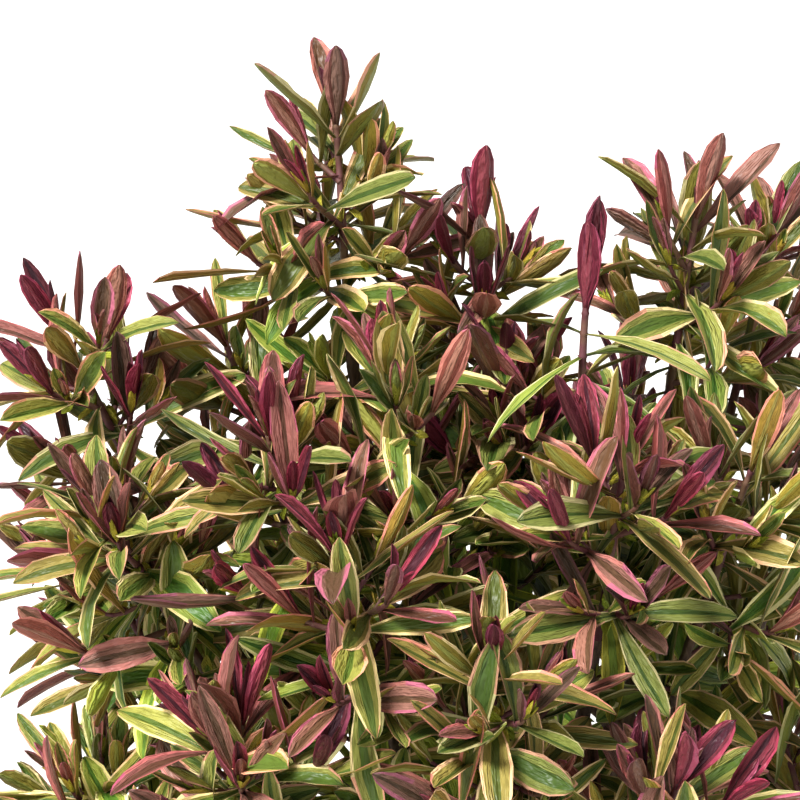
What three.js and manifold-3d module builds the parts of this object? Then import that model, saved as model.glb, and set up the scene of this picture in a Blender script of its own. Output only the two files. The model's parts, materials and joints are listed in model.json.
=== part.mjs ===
// Variegated hebe, a small evergreen garden shrub, whole from the ground up.
// Millimetres, +Z up. The origin is the middle of the flat cut under the trunk, at ground level.
// One short trunk forks into boughs, each bough ends where it enters its mass of foliage, and each
// mass is one stem with side shoots that carry leaves in crossed pairs.

import * as THREE from 'three';
import { mergeVertices } from 'three/addons/utils/BufferGeometryUtils.js';
import Module from 'manifold-3d';

const wasm = await Module();
wasm.setup();

// Gap kept between neighbouring solids, and the lowest point that a leaf may reach
const CLEARANCE = 0.3;
const LOWEST_LEAF = 8;

// Trunk: a short leaning stem with a ribbed root flare
const TRUNK = {
  height: 64,
  footRadius: 8.2,
  topRadius: 6.4,
  flareWidth: 6,
  flareHeight: 9,
  ribs: 5,
  ribDepth: 0.3,
  leanX: -5,
  leanY: 3,
  sides: 12,
  rings: 6,
};

// Boughs: radius at the root and at the tip, and how far the curve holds its end directions
const MAIN_BOUGH = { root: 3.6, tip: 2.0, sides: 5, rings: 5 };
const SIDE_BOUGH = { root: 2.7, tip: 1.6, sides: 5, rings: 4 };
const CURVE_HOLD = 0.36;
const LEADER_AT = 0.9;
const BRANCH_OUT = 1.1;
const LIMB_SAMPLES = 10;

// Crown: outer shoots lean outwards, and lean more the lower they stand
const CROWN_RADIUS = 150;
const CROWN_TOP = 410;
const OUTWARD_LEAN = 0.85;
const SHORTEST_STEM = 44;
const STEM_GROWTH = 0.1;
const SITE_ALONG_STEM = 0.62;
const STEM_RADIUS = { root: 2.5, tip: 1.8 };
const TOP_LEAF = 28;

// Side shoots: leave the stem by the golden angle, wide and long below, steep and short above
const GOLDEN_ANGLE = 137.5;
const LOW_SHOOT = { along: 0.2, tilt: 70, reach: 34 };
const HIGH_SHOOT = { along: 0.72, tilt: 44, reach: 20 };
const SHOOT_RADIUS = { root: 1.2, tip: 1.2 };
const BEARING_SPREAD = 40;
const TILT_SPREAD = 16;
const SHORTEST_SHOOT = 10;
const SHRINK = 0.8;
const SHOOT_UPTURN = 1.3;

// Leaf pairs of a tuft, from the oldest and widest-spread pair up to the youngest
const LEAF_PAIRS = [
  { back: 14, spread: 66, length: 46, width: 17, droop: 6 },
  { back: 7, spread: 38, length: 40, width: 15, droop: 2.5 },
  { back: 3.4, spread: 20, length: 32, width: 10, droop: 0 },
];
const SIDE_TUFT_PAIRS = 2;
const LEADER_TUFT_PAIRS = 3;
const LOWEST_PAIR = 0.6;
const LEAF_WIDEST = 0.44;
const LEAF_THICKNESS = 1.5;
const SPREAD_JITTER = 14;
const SHORTEST_LEAF = 22;
const LEAF_SWINGS = [0, 22, -22, 44];
const ROOT_VOLUME = 0.2;
const SHORTEST_EDGE = 0.01;
const LEAF_SAMPLES = 9;

// Colours of the bark and of the masses: wine shoots, rose-edged leaves and cream-edged green ones
const BARK = { color: 0x4a3226, roughness: 0.85, metalness: 0 };
const FOLIAGE = {
  wine: { color: 0x7c3a48, roughness: 0.55, metalness: 0 },
  rose: { color: 0x9c6468, roughness: 0.55, metalness: 0 },
  olive: { color: 0x858a5c, roughness: 0.55, metalness: 0 },
  cream: { color: 0x93a068, roughness: 0.55, metalness: 0 },
};

// One row for each mass: the limb it grows from and how far along that limb, the place of its
// topmost leaf tip, its number of side shoots, the bearing of the first one, and its main colour.
// A leader whose leaves are still shut has an opening, as a share of their usual spread.
// A limb from the trunk comes before the limbs that branch off it.
const MASSES = [
  { name: 'spire', from: 'trunk', at: LEADER_AT, top: [-69, -5, 398], shoots: 6, turn: 200, look: 'rose' },
  { name: 'spire_east', from: 'spire', at: 0.62, top: [-14, -15, 358], shoots: 5, turn: 10, look: 'wine' },
  { name: 'centre_high', from: 'spire', at: 0.44, top: [-52, -75, 313], shoots: 5, turn: 280, look: 'rose' },
  { name: 'west_mid', from: 'spire', at: 0.52, top: [-119, 15, 311], shoots: 5, turn: 150, look: 'olive' },
  { name: 'west_high', from: 'trunk', at: 0.72, top: [-182, -10, 314], shoots: 5, turn: 180, look: 'wine' },
  { name: 'far_west', from: 'west_high', at: 0.5, top: [-187, 20, 232], shoots: 5, turn: 170, look: 'olive' },
  { name: 'west_low', from: 'west_high', at: 0.4, top: [-165, -70, 258], shoots: 5, turn: 220, look: 'rose' },
  { name: 'west_skirt', from: 'trunk', at: 0.40, top: [-185, -40, 146], shoots: 5, turn: 190, look: 'cream' },
  { name: 'centre_left', from: 'trunk', at: 0.56, top: [-97, -95, 289], shoots: 5, turn: 240, look: 'rose' },
  { name: 'centre_front', from: 'centre_left', at: 0.46, top: [-70, -132, 252], shoots: 5, turn: 270, look: 'rose' },
  { name: 'low_west', from: 'centre_left', at: 0.3, top: [-120, -128, 184], shoots: 5, turn: 230, look: 'wine' },
  { name: 'mid_east', from: 'trunk', at: 0.66, top: [39, -110, 282], shoots: 5, turn: 300, look: 'wine' },
  { name: 'low_centre', from: 'mid_east', at: 0.36, top: [-13, -150, 216], shoots: 5, turn: 260, look: 'rose' },
  { name: 'low_east', from: 'mid_east', at: 0.26, top: [58, -146, 172], shoots: 5, turn: 310, look: 'wine' },
  { name: 'east_high', from: 'trunk', at: 0.76, top: [71, -15, 363], shoots: 5, turn: 20, look: 'rose' },
  { name: 'east_bud', from: 'east_high', at: 0.62, top: [27, -60, 344],
    shoots: 1, turn: 320, look: 'wine', opening: 0.3 },
  { name: 'centre_east', from: 'east_high', at: 0.46, top: [-4, -44, 304], shoots: 5, turn: 250, look: 'wine' },
  { name: 'east_side', from: 'trunk', at: 0.44, top: [147, 0, 296], shoots: 5, turn: 0, look: 'olive' },
  { name: 'mid_far_east', from: 'east_side', at: 0.5, top: [91, -78, 276], shoots: 5, turn: 330, look: 'olive' },
  { name: 'east_low', from: 'east_side', at: 0.32, top: [139, -78, 178], shoots: 5, turn: 340, look: 'cream' },
  { name: 'east_far', from: 'trunk', at: 0.60, top: [110, 48, 351], shoots: 5, turn: 44, look: 'rose' },
  { name: 'back_east', from: 'east_far', at: 0.44, top: [58, 112, 276], shoots: 5, turn: 80, look: 'wine' },
  { name: 'back_east_low', from: 'east_far', at: 0.28, top: [128, 96, 190], shoots: 5, turn: 58, look: 'cream' },
  { name: 'back_west', from: 'trunk', at: 0.64, top: [-34, 80, 300], shoots: 5, turn: 110, look: 'rose' },
  { name: 'back_west_low', from: 'back_west', at: 0.32, top: [-98, 112, 216], shoots: 5, turn: 140, look: 'cream' },
  { name: 'front_skirt', from: 'trunk', at: 0.34, top: [-30, -122, 116], shoots: 5, turn: 250, look: 'cream' },
  { name: 'east_skirt', from: 'trunk', at: 0.26, top: [122, 8, 116], shoots: 4, turn: 0, look: 'cream' },
  { name: 'back_skirt', from: 'trunk', at: 0.34, top: [-38, 122, 108], shoots: 4, turn: 100, look: 'cream' },
  { name: 'back_low', from: 'back_west', at: 0.26, top: [18, 152, 188], shoots: 4, turn: 90, look: 'olive' },
];

const UP = new THREE.Vector3(0, 0, 1);
const EAST = new THREE.Vector3(1, 0, 0);
const lerp = THREE.MathUtils.lerp;
const radians = THREE.MathUtils.degToRad;

// A fixed stream of numbers from 0 to 1, the same on every run
function randomStream(seed) {
  let state = seed;
  return () => {
    state = (state * 48271) % 2147483647;
    return state / 2147483647;
  };
}

const along = (start, direction, distance) => start.clone().addScaledVector(direction, distance);
const mix = (a, weightA, b, weightB) =>
  a.clone().multiplyScalar(weightA).addScaledVector(b, weightB).normalize();

// The unit vector square to an axis at a bearing in degrees, counted from the east
function around(axis, bearing) {
  const u = along(EAST, axis, -EAST.dot(axis)).normalize();
  const v = axis.clone().cross(u);
  return mix(u, Math.cos(radians(bearing)), v, Math.sin(radians(bearing)));
}

// The direction that leans from an axis by an angle in degrees, towards a unit vector square to it
const leaning = (axis, out, angle) => mix(axis, Math.cos(radians(angle)), out, Math.sin(radians(angle)));

function toManifold(geometry) {
  const bare = geometry.clone();
  bare.deleteAttribute('normal');
  bare.deleteAttribute('uv');
  const merged = mergeVertices(bare);
  return new wasm.Manifold(new wasm.Mesh({
    numProp: 3,
    vertProperties: new Float32Array(merged.getAttribute('position').array),
    triVerts: new Uint32Array(merged.getIndex().array),
  }));
}

function toGeometry(manifold) {
  const mesh = manifold.getMesh();
  const geometry = new THREE.BufferGeometry();
  geometry.setAttribute('position', new THREE.BufferAttribute(mesh.vertProperties, 3));
  geometry.setIndex(new THREE.BufferAttribute(mesh.triVerts, 1));
  geometry.computeVertexNormals();
  return geometry;
}

// Moves each vertex of a geometry by a function of its old place
function reshape(geometry, place) {
  const position = geometry.getAttribute('position');
  const vertex = new THREE.Vector3();
  for (let i = 0; i < position.count; i += 1) {
    vertex.fromBufferAttribute(position, i);
    position.setXYZ(i, ...place(vertex.clone()).toArray());
  }
  return geometry;
}

// The trunk: a cylinder whose rings lean, taper and spread into ribs at the foot
function trunkCentre(fraction) {
  const lean = fraction ** 1.5;
  return new THREE.Vector3(TRUNK.leanX * lean, TRUNK.leanY * lean, TRUNK.height * fraction);
}

function trunkSolid(growth) {
  const cylinder = new THREE.CylinderGeometry(1, 1, 1, TRUNK.sides, TRUNK.rings);
  cylinder.rotateX(Math.PI / 2);
  return toManifold(reshape(cylinder, (vertex) => {
    const fraction = (vertex.z + 0.5) ** 1.4;
    const ribs = 1 - TRUNK.ribDepth * (0.5 + 0.5 * Math.cos(TRUNK.ribs * Math.atan2(vertex.y, vertex.x)));
    const flare = TRUNK.flareWidth * ribs * Math.exp(-TRUNK.height * fraction / TRUNK.flareHeight);
    const radius = lerp(TRUNK.footRadius, TRUNK.topRadius, fraction) + flare + growth;
    const point = trunkCentre(fraction);
    point.x += vertex.x * radius;
    point.y += vertex.y * radius;
    point.z += fraction * growth;
    return point;
  }));
}

// A limb: a tapering cylinder bent along its curve
function limbSolid(curve, size, growth) {
  const frames = curve.computeFrenetFrames(size.rings, false);
  const cylinder = new THREE.CylinderGeometry(1, 1, 1, size.sides, size.rings);
  return toManifold(reshape(cylinder, (vertex) => {
    const fraction = vertex.y + 0.5;
    const ring = Math.round(fraction * size.rings);
    const radius = lerp(size.root, size.tip, fraction) + growth;
    return along(along(curve.getPointAt(fraction), frames.normals[ring], vertex.x * radius),
      frames.binormals[ring], -vertex.z * radius);
  }));
}

// A twig: a three-sided tapering prism from one point to another
const TRIANGLE = new THREE.Shape([90, 210, 330].map((angle) =>
  new THREE.Vector2(Math.cos(radians(angle)), Math.sin(radians(angle)))));

function twigSolid(start, end, size) {
  const axis = end.clone().sub(start);
  const direction = axis.clone().normalize();
  const prism = new THREE.ExtrudeGeometry(TRIANGLE, { depth: 1, bevelEnabled: false });
  return toManifold(reshape(prism, (vertex) => {
    const radius = lerp(size.root, size.tip, vertex.z);
    const centre = along(start, axis, vertex.z);
    const [u, v] = [around(direction, 0), around(direction, 90)];
    return along(along(centre, u, vertex.x * radius), v, vertex.y * radius);
  }));
}

// A leaf: root, tip, two side corners and a keel under its widest place, bent across that place
const LEAF_CORNERS = { root: [-1, 0, 0], top: [1, 0, 0], left: [0, 1, 0], right: [0, -1, 0], keel: [0, 0, -1] };
const LEAF_FACES = [0, 3, 2, 1, 2, 3, 0, 2, 4, 0, 4, 3, 1, 4, 2, 1, 3, 4];

function leafPoint(leaf, corner) {
  if (corner.x > 0.5) {
    return along(along(leaf.root, leaf.direction, leaf.length), leaf.face, -leaf.droop);
  }
  const widest = along(leaf.root, leaf.direction, leaf.length * LEAF_WIDEST * (1 + Math.round(corner.x)));
  const side = leaf.face.clone().cross(leaf.direction);
  return along(along(widest, side, corner.y * leaf.width / 2), leaf.face, corner.z * LEAF_THICKNESS);
}

function leafSolid(leaf) {
  const corners = Object.values(LEAF_CORNERS).flat();
  const blade = new THREE.PolyhedronGeometry(corners, LEAF_FACES, 1, 0);
  return toManifold(reshape(blade, (corner) => leafPoint(leaf, corner)));
}

// Where each mass stands: its stem, its direction and the middle of the space it keeps to
function placeMass(row, index) {
  const top = new THREE.Vector3(...row.top);
  const outward = new THREE.Vector3(top.x, top.y, 0);
  const lean = OUTWARD_LEAN * outward.length() / CROWN_RADIUS * Math.sqrt(1 - top.z / CROWN_TOP);
  const axis = mix(UP, 1, outward.normalize(), lean);
  const stem = SHORTEST_STEM + STEM_GROWTH * top.z;
  const tip = along(top, axis, -TOP_LEAF);
  const base = along(tip, axis, -stem);
  const site = along(base, axis, stem * SITE_ALONG_STEM);
  return { ...row, seed: 1001 + 77 * index, tip, axis, stem, base, site };
}

// The curve of a limb, from inside its parent to the foot of its mass
function limbCurve(mass, limbs) {
  const parent = limbs.find((limb) => limb.name === mass.from);
  const start = parent ? parent.curve.getPoint(mass.at) : trunkCentre(mass.at);
  const forward = parent ? parent.curve.getTangent(mass.at) : UP.clone();
  const way = mass.base.clone().sub(start);
  const aside = along(way, forward, -way.dot(forward)).normalize();
  const hold = way.length() * CURVE_HOLD;
  const leave = mass.at === LEADER_AT ? forward : mix(forward, 1, aside, BRANCH_OUT);
  return new THREE.CubicBezierCurve3(
    start, along(start, leave, hold), along(mass.base, mass.axis, -hold), mass.base.clone());
}

const masses = MASSES.map(placeMass);
const limbs = [];
for (const mass of masses) {
  const size = mass.from === 'trunk' ? MAIN_BOUGH : SIDE_BOUGH;
  limbs.push({ name: mass.name, from: mass.from, size, curve: limbCurve(mass, limbs) });
}

// Wood that leaves keep clear of: every limb, and every stem of another mass, as short pieces
const wood = [];
for (const limb of limbs) {
  for (let i = 0; i < LIMB_SAMPLES; i += 1) {
    const [from, to] = [i / LIMB_SAMPLES, (i + 1) / LIMB_SAMPLES];
    wood.push({
      line: new THREE.Line3(limb.curve.getPoint(from), limb.curve.getPoint(to)),
      radius: lerp(limb.size.root, limb.size.tip, from),
      owner: null,
    });
  }
}
for (const mass of masses) {
  const start = along(mass.base, mass.axis, CLEARANCE);
  wood.push({ line: new THREE.Line3(start, mass.tip), radius: MAIN_BOUGH.tip, owner: mass.name });
}

// The space of a mass: nearer to its own middle than to any other's, and above the ground
function insideSpace(mass, point, margin) {
  if (point.z < LOWEST_LEAF) {
    return false;
  }
  return masses.every((other) => {
    if (other === mass) {
      return true;
    }
    const apart = other.site.distanceTo(mass.site);
    const depth = (point.distanceToSquared(other.site) - point.distanceToSquared(mass.site)) / (2 * apart);
    return depth > margin;
  });
}

function clearOfWood(mass, point, halfWidth) {
  const nearest = new THREE.Vector3();
  return wood.every((piece) => {
    if (piece.owner === mass.name) {
      return true;
    }
    piece.line.closestPointToPoint(point, true, nearest);
    return nearest.distanceTo(point) > piece.radius + halfWidth + CLEARANCE;
  });
}

function twigFits(mass, start, end, radius) {
  for (let i = 0; i <= LEAF_SAMPLES; i += 1) {
    const point = start.clone().lerp(end, i / LEAF_SAMPLES);
    if (!insideSpace(mass, point, radius + CLEARANCE) || !clearOfWood(mass, point, radius)) {
      return false;
    }
  }
  return true;
}

function leafFits(mass, leaf) {
  const inside = Object.values(LEAF_CORNERS).every((corner) =>
    insideSpace(mass, leafPoint(leaf, new THREE.Vector3(...corner)), CLEARANCE));
  if (!inside) {
    return false;
  }
  for (let i = 1; i <= LEAF_SAMPLES; i += 1) {
    const fraction = i / LEAF_SAMPLES;
    const halfWidth = leaf.width / 2 * Math.sin(Math.PI * fraction ** 0.8) + LEAF_THICKNESS;
    const point = along(along(leaf.root, leaf.direction, leaf.length * fraction), leaf.face,
      -leaf.droop * fraction ** 2);
    if (!clearOfWood(mass, point, halfWidth)) {
      return false;
    }
  }
  return true;
}

// The shoots of a mass: its leader, then the side shoots that fit its space
function growShoots(mass) {
  const draw = randomStream(mass.seed);
  const start = along(mass.base, mass.axis, CLEARANCE);
  const shoots = [{
    start, tip: mass.tip, way: mass.axis, axis: mass.axis, length: mass.stem, bearing: mass.turn, leader: true,
    opening: mass.opening ?? 1,
  }];
  for (let k = 0; k < mass.shoots; k += 1) {
    const rise = k / Math.max(mass.shoots - 1, 1);
    const bearing = mass.turn + k * GOLDEN_ANGLE + (draw() - 0.5) * BEARING_SPREAD;
    const tilt = lerp(LOW_SHOOT.tilt, HIGH_SHOOT.tilt, rise) + (draw() - 0.5) * TILT_SPREAD;
    const reach = lerp(LOW_SHOOT.reach, HIGH_SHOOT.reach, rise) * (0.85 + 0.3 * draw());
    const root = along(mass.base, mass.axis, mass.stem * lerp(LOW_SHOOT.along, HIGH_SHOOT.along, rise));
    const way = leaning(mass.axis, around(mass.axis, bearing), tilt);
    for (let length = reach; length > SHORTEST_SHOOT; length *= SHRINK) {
      const tip = along(root, way, length);
      if (twigFits(mass, root, tip, SHOOT_RADIUS.tip)) {
        const axis = mix(way, 1, UP, SHOOT_UPTURN);
        shoots.push({ start: root, tip, way, axis, length, bearing, leader: false, opening: 1 });
        break;
      }
    }
  }
  return shoots;
}

// The places a leaf may take, the best first: at its own bearing or swung aside, then shorter
function leafTries(shoot, level, turn, draw) {
  const pair = LEAF_PAIRS[level];
  const bearing = shoot.bearing + 90 * level + turn + (draw() - 0.5) * SPREAD_JITTER;
  const spread = (pair.spread + (draw() - 0.5) * SPREAD_JITTER) * shoot.opening;
  const root = along(shoot.tip, shoot.way, -Math.min(pair.back, shoot.length * LOWEST_PAIR));
  const tries = [];
  for (let length = pair.length; length > SHORTEST_LEAF; length *= SHRINK) {
    for (const swing of LEAF_SWINGS) {
      const out = around(shoot.axis, bearing + swing);
      const direction = leaning(shoot.axis, out, spread);
      const face = leaning(shoot.axis, out, spread + 90).negate();
      tries.push({ root, direction, face, length, width: pair.width, droop: pair.droop });
    }
  }
  return tries;
}

const largest = (pieces) => pieces.reduce((a, b) => (a.volume() > b.volume() ? a : b));

// One mass: its stem and shoots, then leaves whose root alone meets what is there already, all
// joined, less any loose scrap or sealed hollow
function massSolid(mass) {
  const draw = randomStream(mass.seed + 500000);
  const shoots = growShoots(mass);
  let solid = shoots.map((shoot) => twigSolid(shoot.start, shoot.tip, shoot.leader ? STEM_RADIUS : SHOOT_RADIUS))
    .reduce((a, b) => a.add(b));
  for (const shoot of shoots) {
    const pairs = shoot.leader ? LEADER_TUFT_PAIRS : SIDE_TUFT_PAIRS;
    for (let leafNumber = 0; leafNumber < 2 * pairs; leafNumber += 1) {
      const tries = leafTries(shoot, Math.floor(leafNumber / 2), 180 * (leafNumber % 2), draw);
      const blade = tries.filter((leaf) => leafFits(mass, leaf)).map(leafSolid)
        .find((piece) => piece.intersect(solid).volume() < ROOT_VOLUME);
      if (blade) {
        solid = solid.add(blade);
      }
    }
  }
  return largest(solid.simplify(SHORTEST_EDGE).decompose());
}

const shrub = new THREE.Group();

function addNode(name, solid, finish) {
  const mesh = new THREE.Mesh(toGeometry(solid), new THREE.MeshStandardMaterial(finish));
  mesh.name = name;
  shrub.add(mesh);
}

addNode('trunk', trunkSolid(0), BARK);

// Each limb is cut to fit round its parent with the clearance between them
for (const limb of limbs) {
  const parent = limbs.find((one) => one.name === limb.from);
  const seat = parent ? limbSolid(parent.curve, parent.size, CLEARANCE) : trunkSolid(CLEARANCE);
  const pieces = limbSolid(limb.curve, limb.size, 0).subtract(seat).decompose();
  addNode(`bough_${limb.name}`, largest(pieces), BARK);
}

for (const mass of masses) {
  addNode(`foliage_${mass.name}`, massSolid(mass), FOLIAGE[mass.look]);
}

export default shrub;
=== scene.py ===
"""Variegated hebe shrub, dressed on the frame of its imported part. Metres in Blender, +Z up.

The bark stands for the trunk and the boughs. The twigs, leaves and buds stand for the masses of foliage:
they repeat the part's own rule for shoots, in millimetres, and carry it on to finer twigs and to many more
leaves. Leaves stand in crossed pairs, wine red to olive at a shoot's tip, and greener and wider spread below.
"""

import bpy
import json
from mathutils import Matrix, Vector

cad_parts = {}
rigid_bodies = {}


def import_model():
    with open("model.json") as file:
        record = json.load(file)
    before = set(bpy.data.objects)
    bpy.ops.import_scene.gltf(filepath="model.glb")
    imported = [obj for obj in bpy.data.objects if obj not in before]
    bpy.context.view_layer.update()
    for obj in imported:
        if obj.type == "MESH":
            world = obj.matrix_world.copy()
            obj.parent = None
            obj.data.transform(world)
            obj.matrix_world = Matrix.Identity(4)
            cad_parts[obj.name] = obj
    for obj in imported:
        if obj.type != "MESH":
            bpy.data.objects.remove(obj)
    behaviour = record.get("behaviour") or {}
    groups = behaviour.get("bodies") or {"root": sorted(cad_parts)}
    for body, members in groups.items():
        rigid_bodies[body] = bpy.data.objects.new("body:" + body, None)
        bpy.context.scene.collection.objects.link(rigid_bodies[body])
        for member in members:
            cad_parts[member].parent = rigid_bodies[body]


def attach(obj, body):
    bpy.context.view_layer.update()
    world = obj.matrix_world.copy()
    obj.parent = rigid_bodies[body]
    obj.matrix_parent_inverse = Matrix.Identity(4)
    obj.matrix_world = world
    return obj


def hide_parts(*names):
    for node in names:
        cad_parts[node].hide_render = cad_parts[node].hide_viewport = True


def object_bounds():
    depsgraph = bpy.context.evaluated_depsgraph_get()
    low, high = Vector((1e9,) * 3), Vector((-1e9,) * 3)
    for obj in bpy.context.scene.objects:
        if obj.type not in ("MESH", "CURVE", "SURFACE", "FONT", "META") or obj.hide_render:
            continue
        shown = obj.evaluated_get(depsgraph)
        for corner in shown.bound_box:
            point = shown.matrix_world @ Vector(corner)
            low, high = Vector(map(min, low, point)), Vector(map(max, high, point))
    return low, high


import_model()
CAD_BOX = [list(corner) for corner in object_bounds()]

import json
import math
from dataclasses import dataclass
from functools import lru_cache

import bpy
import numpy as np
from bpy.props import FloatProperty, FloatVectorProperty, IntProperty, PointerProperty
from mathutils import Vector

bl_info = {
    "name": "Variegated Hebe Shrub",
    "version": (1, 0, 0),
    "blender": (4, 5, 0),
    "location": "View3D > Sidebar > Hebe",
    "description": "Grows bark, twigs, variegated leaves and buds on a small garden shrub",
    "category": "Object",
}

MM = 0.001
UP = np.array([0.0, 0.0, 1.0])
EAST = np.array([1.0, 0.0, 0.0])

# A distance, in millimetres, that no test counts as near
FAR = 1e9

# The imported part's own numbers, in millimetres and degrees
CLEARANCE = 0.3
LOWEST_LEAF = 8
TRUNK = {
    "height": 64, "foot": 8.2, "top": 6.4, "flare_width": 6, "flare_height": 9, "lean_x": -5, "lean_y": 3,
    "lean_curve": 1.5,
}
MAIN_BOUGH = (3.6, 2.0)
SIDE_BOUGH = (2.7, 1.6)
CURVE_HOLD = 0.36
LEADER_AT = 0.9
BRANCH_OUT = 1.1
LIMB_SAMPLES = 10
CROWN_RADIUS = 150
CROWN_TOP = 410
OUTWARD_LEAN = 0.85
SHORTEST_STEM = 44
STEM_GROWTH = 0.1
SITE_ALONG_STEM = 0.62
TOP_LEAF = 28
GOLDEN_ANGLE = 137.5
LOW_SHOOT = {"along": 0.2, "tilt": 70, "reach": 34}
HIGH_SHOOT = {"along": 0.72, "tilt": 44, "reach": 20}
SHOOT_RADIUS = 1.2
BEARING_SPREAD = 40
TILT_SPREAD = 16
SHORTEST_SHOOT = 10
SHOOT_REACHES = (0.85, 0.3)
SHRINK = 0.8
SHOOT_UPTURN = 1.3
TWIG_SAMPLES = 9
FIRST_SEED = 1001
SEED_STEP = 77

# How a stem bows to one side and then the other, and how a shoot leaves one way and ends another
STEM_ROOT = 1.0
STEM_BOW = {"share": 0.03, "turn": 60, "places": (0.35, 0.7)}
SHOOT_CURVE = {"leave": 0.45, "arrive": 0.3, "upturn": 1.2}
CURVE_SAMPLES = 48

# One row for each mass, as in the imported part: name, parent limb, how far along it, the place of the
# topmost leaf tip, number of side shoots, bearing of the first one, main look
MASSES = [
    ("spire", "trunk", LEADER_AT, (-69, -5, 398), 6, 200, "rose"),
    ("spire_east", "spire", 0.62, (-14, -15, 358), 5, 10, "wine"),
    ("centre_high", "spire", 0.44, (-52, -75, 313), 5, 280, "rose"),
    ("west_mid", "spire", 0.52, (-119, 15, 311), 5, 150, "olive"),
    ("west_high", "trunk", 0.72, (-182, -10, 314), 5, 180, "wine"),
    ("far_west", "west_high", 0.5, (-187, 20, 232), 5, 170, "olive"),
    ("west_low", "west_high", 0.4, (-165, -70, 258), 5, 220, "rose"),
    ("west_skirt", "trunk", 0.40, (-185, -40, 146), 5, 190, "cream"),
    ("centre_left", "trunk", 0.56, (-97, -95, 289), 5, 240, "rose"),
    ("centre_front", "centre_left", 0.46, (-70, -132, 252), 5, 270, "rose"),
    ("low_west", "centre_left", 0.3, (-120, -128, 184), 5, 230, "wine"),
    ("mid_east", "trunk", 0.66, (39, -110, 282), 5, 300, "wine"),
    ("low_centre", "mid_east", 0.36, (-13, -150, 216), 5, 260, "rose"),
    ("low_east", "mid_east", 0.26, (58, -146, 172), 5, 310, "wine"),
    ("east_high", "trunk", 0.76, (71, -15, 363), 5, 20, "rose"),
    ("east_bud", "east_high", 0.62, (27, -60, 344), 1, 320, "wine"),
    ("centre_east", "east_high", 0.46, (-4, -44, 304), 5, 250, "wine"),
    ("east_side", "trunk", 0.44, (147, 0, 296), 5, 0, "olive"),
    ("mid_far_east", "east_side", 0.5, (91, -78, 276), 5, 330, "olive"),
    ("east_low", "east_side", 0.32, (139, -78, 178), 5, 340, "cream"),
    ("east_far", "trunk", 0.60, (110, 48, 351), 5, 44, "rose"),
    ("back_east", "east_far", 0.44, (58, 112, 276), 5, 80, "wine"),
    ("back_east_low", "east_far", 0.28, (128, 96, 190), 5, 58, "cream"),
    ("back_west", "trunk", 0.64, (-34, 80, 300), 5, 110, "rose"),
    ("back_west_low", "back_west", 0.32, (-98, 112, 216), 5, 140, "cream"),
    ("front_skirt", "trunk", 0.34, (-30, -122, 116), 5, 250, "cream"),
    ("east_skirt", "trunk", 0.26, (122, 8, 116), 4, 0, "cream"),
    ("back_skirt", "trunk", 0.34, (-38, 122, 108), 4, 100, "cream"),
    ("back_low", "back_west", 0.26, (18, 152, 188), 4, 90, "olive"),
]

# Leaf pairs from the youngest at the tip: distance back from the tip, then length, width, spread and
# arch, the first two as shares of a full leaf and the last two in degrees
LEAF_AGES = [
    (0.4, 0.50, 0.50, 9, -8),
    (2.8, 0.74, 0.74, 22, -6),
    (7.4, 0.94, 0.94, 42, 8),
    (13.8, 1.04, 1.06, 62, 20),
    (21.4, 1.06, 1.08, 78, 30),
    (30.0, 1.02, 1.05, 90, 38),
    (39.2, 0.97, 1.01, 98, 42),
]
OLDER_STEP = 9.6

# The kind of leaf at each age, from the tip down, by the look of the mass
KINDS_BY_AGE = {
    "wine": "wwroocccss",
    "rose": "wrooocccss",
    "olive": "rrooccccss",
    "cream": "rooccccsss",
}
KINDS = {"w": "wine", "r": "rose", "o": "olive", "c": "cream", "s": "shade"}

# Masses whose leading and side shoots have leaves as deep in colour as those of the wine look
CRIMSON_TUFTS = ("centre_left", "centre_front")

# Some leaves, chosen at random, turn to the kind next to their own
CHANGED_KIND = {"wine": "rose", "rose": "olive", "olive": "rose", "cream": "olive"}
CHANGE_SHARE = 0.12

# Leaders that are still shut: how many of their pairs, the shares of an open leaf's length, width, spread and
# random strays, the arch, and the share of the stem that carries finer shoots
CLOSED_BUDS = ("east_bud",)
SHUT = {"pairs": 4, "length": 0.8, "width": 1.1, "spread": 0.1, "loose": 0.15, "arch": -10, "stem": 0.4}

# Where the margin starts on each half of a blade, as a range of shares of its half width
MARGIN_STARTS = {
    "wine": (0.56, 0.9),
    "rose": (0.56, 0.9),
    "olive": (0.7, 0.92),
    "cream": (0.68, 0.9),
    "shade": (0.74, 0.92),
}

# Leaves turn to the kind for shade near the crown's middle, less far out the higher they stand
SHADE = {"depth": 95, "narrowing": 40, "after": 3, "below": 250, "share": 0.75}

# Random ranges of a leaf: lowest value, width above it and, third, the power of the random number
VIGOURS = (0.93, 0.14)
LEAF_LENGTHS = (0.84, 0.34)
LEAF_WIDTHS = (0.78, 0.52, 1.6)
LEAF_FOLDS = (0.6, 0.7)
VEIN_PLACES = (0.12, 0.4, 1.3)
FLUSH_POWER = 1.8

# Random strays of a leaf, which widen with its age: width for the youngest pair, more a pair, last pair
BEARING_STRAY = (10, 3.2)
LEAN_STRAY = (10, 1.5)
ARCH_STRAY = (30, 12, 5)
CURL_STRAY = (0.2, 0.05, 6)
TWIST_STRAY = (24, 9, 8)

# How many pairs count as young, and a value for the young and one for the old
FOLD_BY_AGE = (3, 1.25, 0.8)
FLUSH_BY_AGE = (6, 0.85, 0.4)

# Share of leaves with the tint of their spray, and the range of the number that each leaf's noise starts at
SPRAY_TINT_SHARE = 0.6
LOTS = 100

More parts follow.
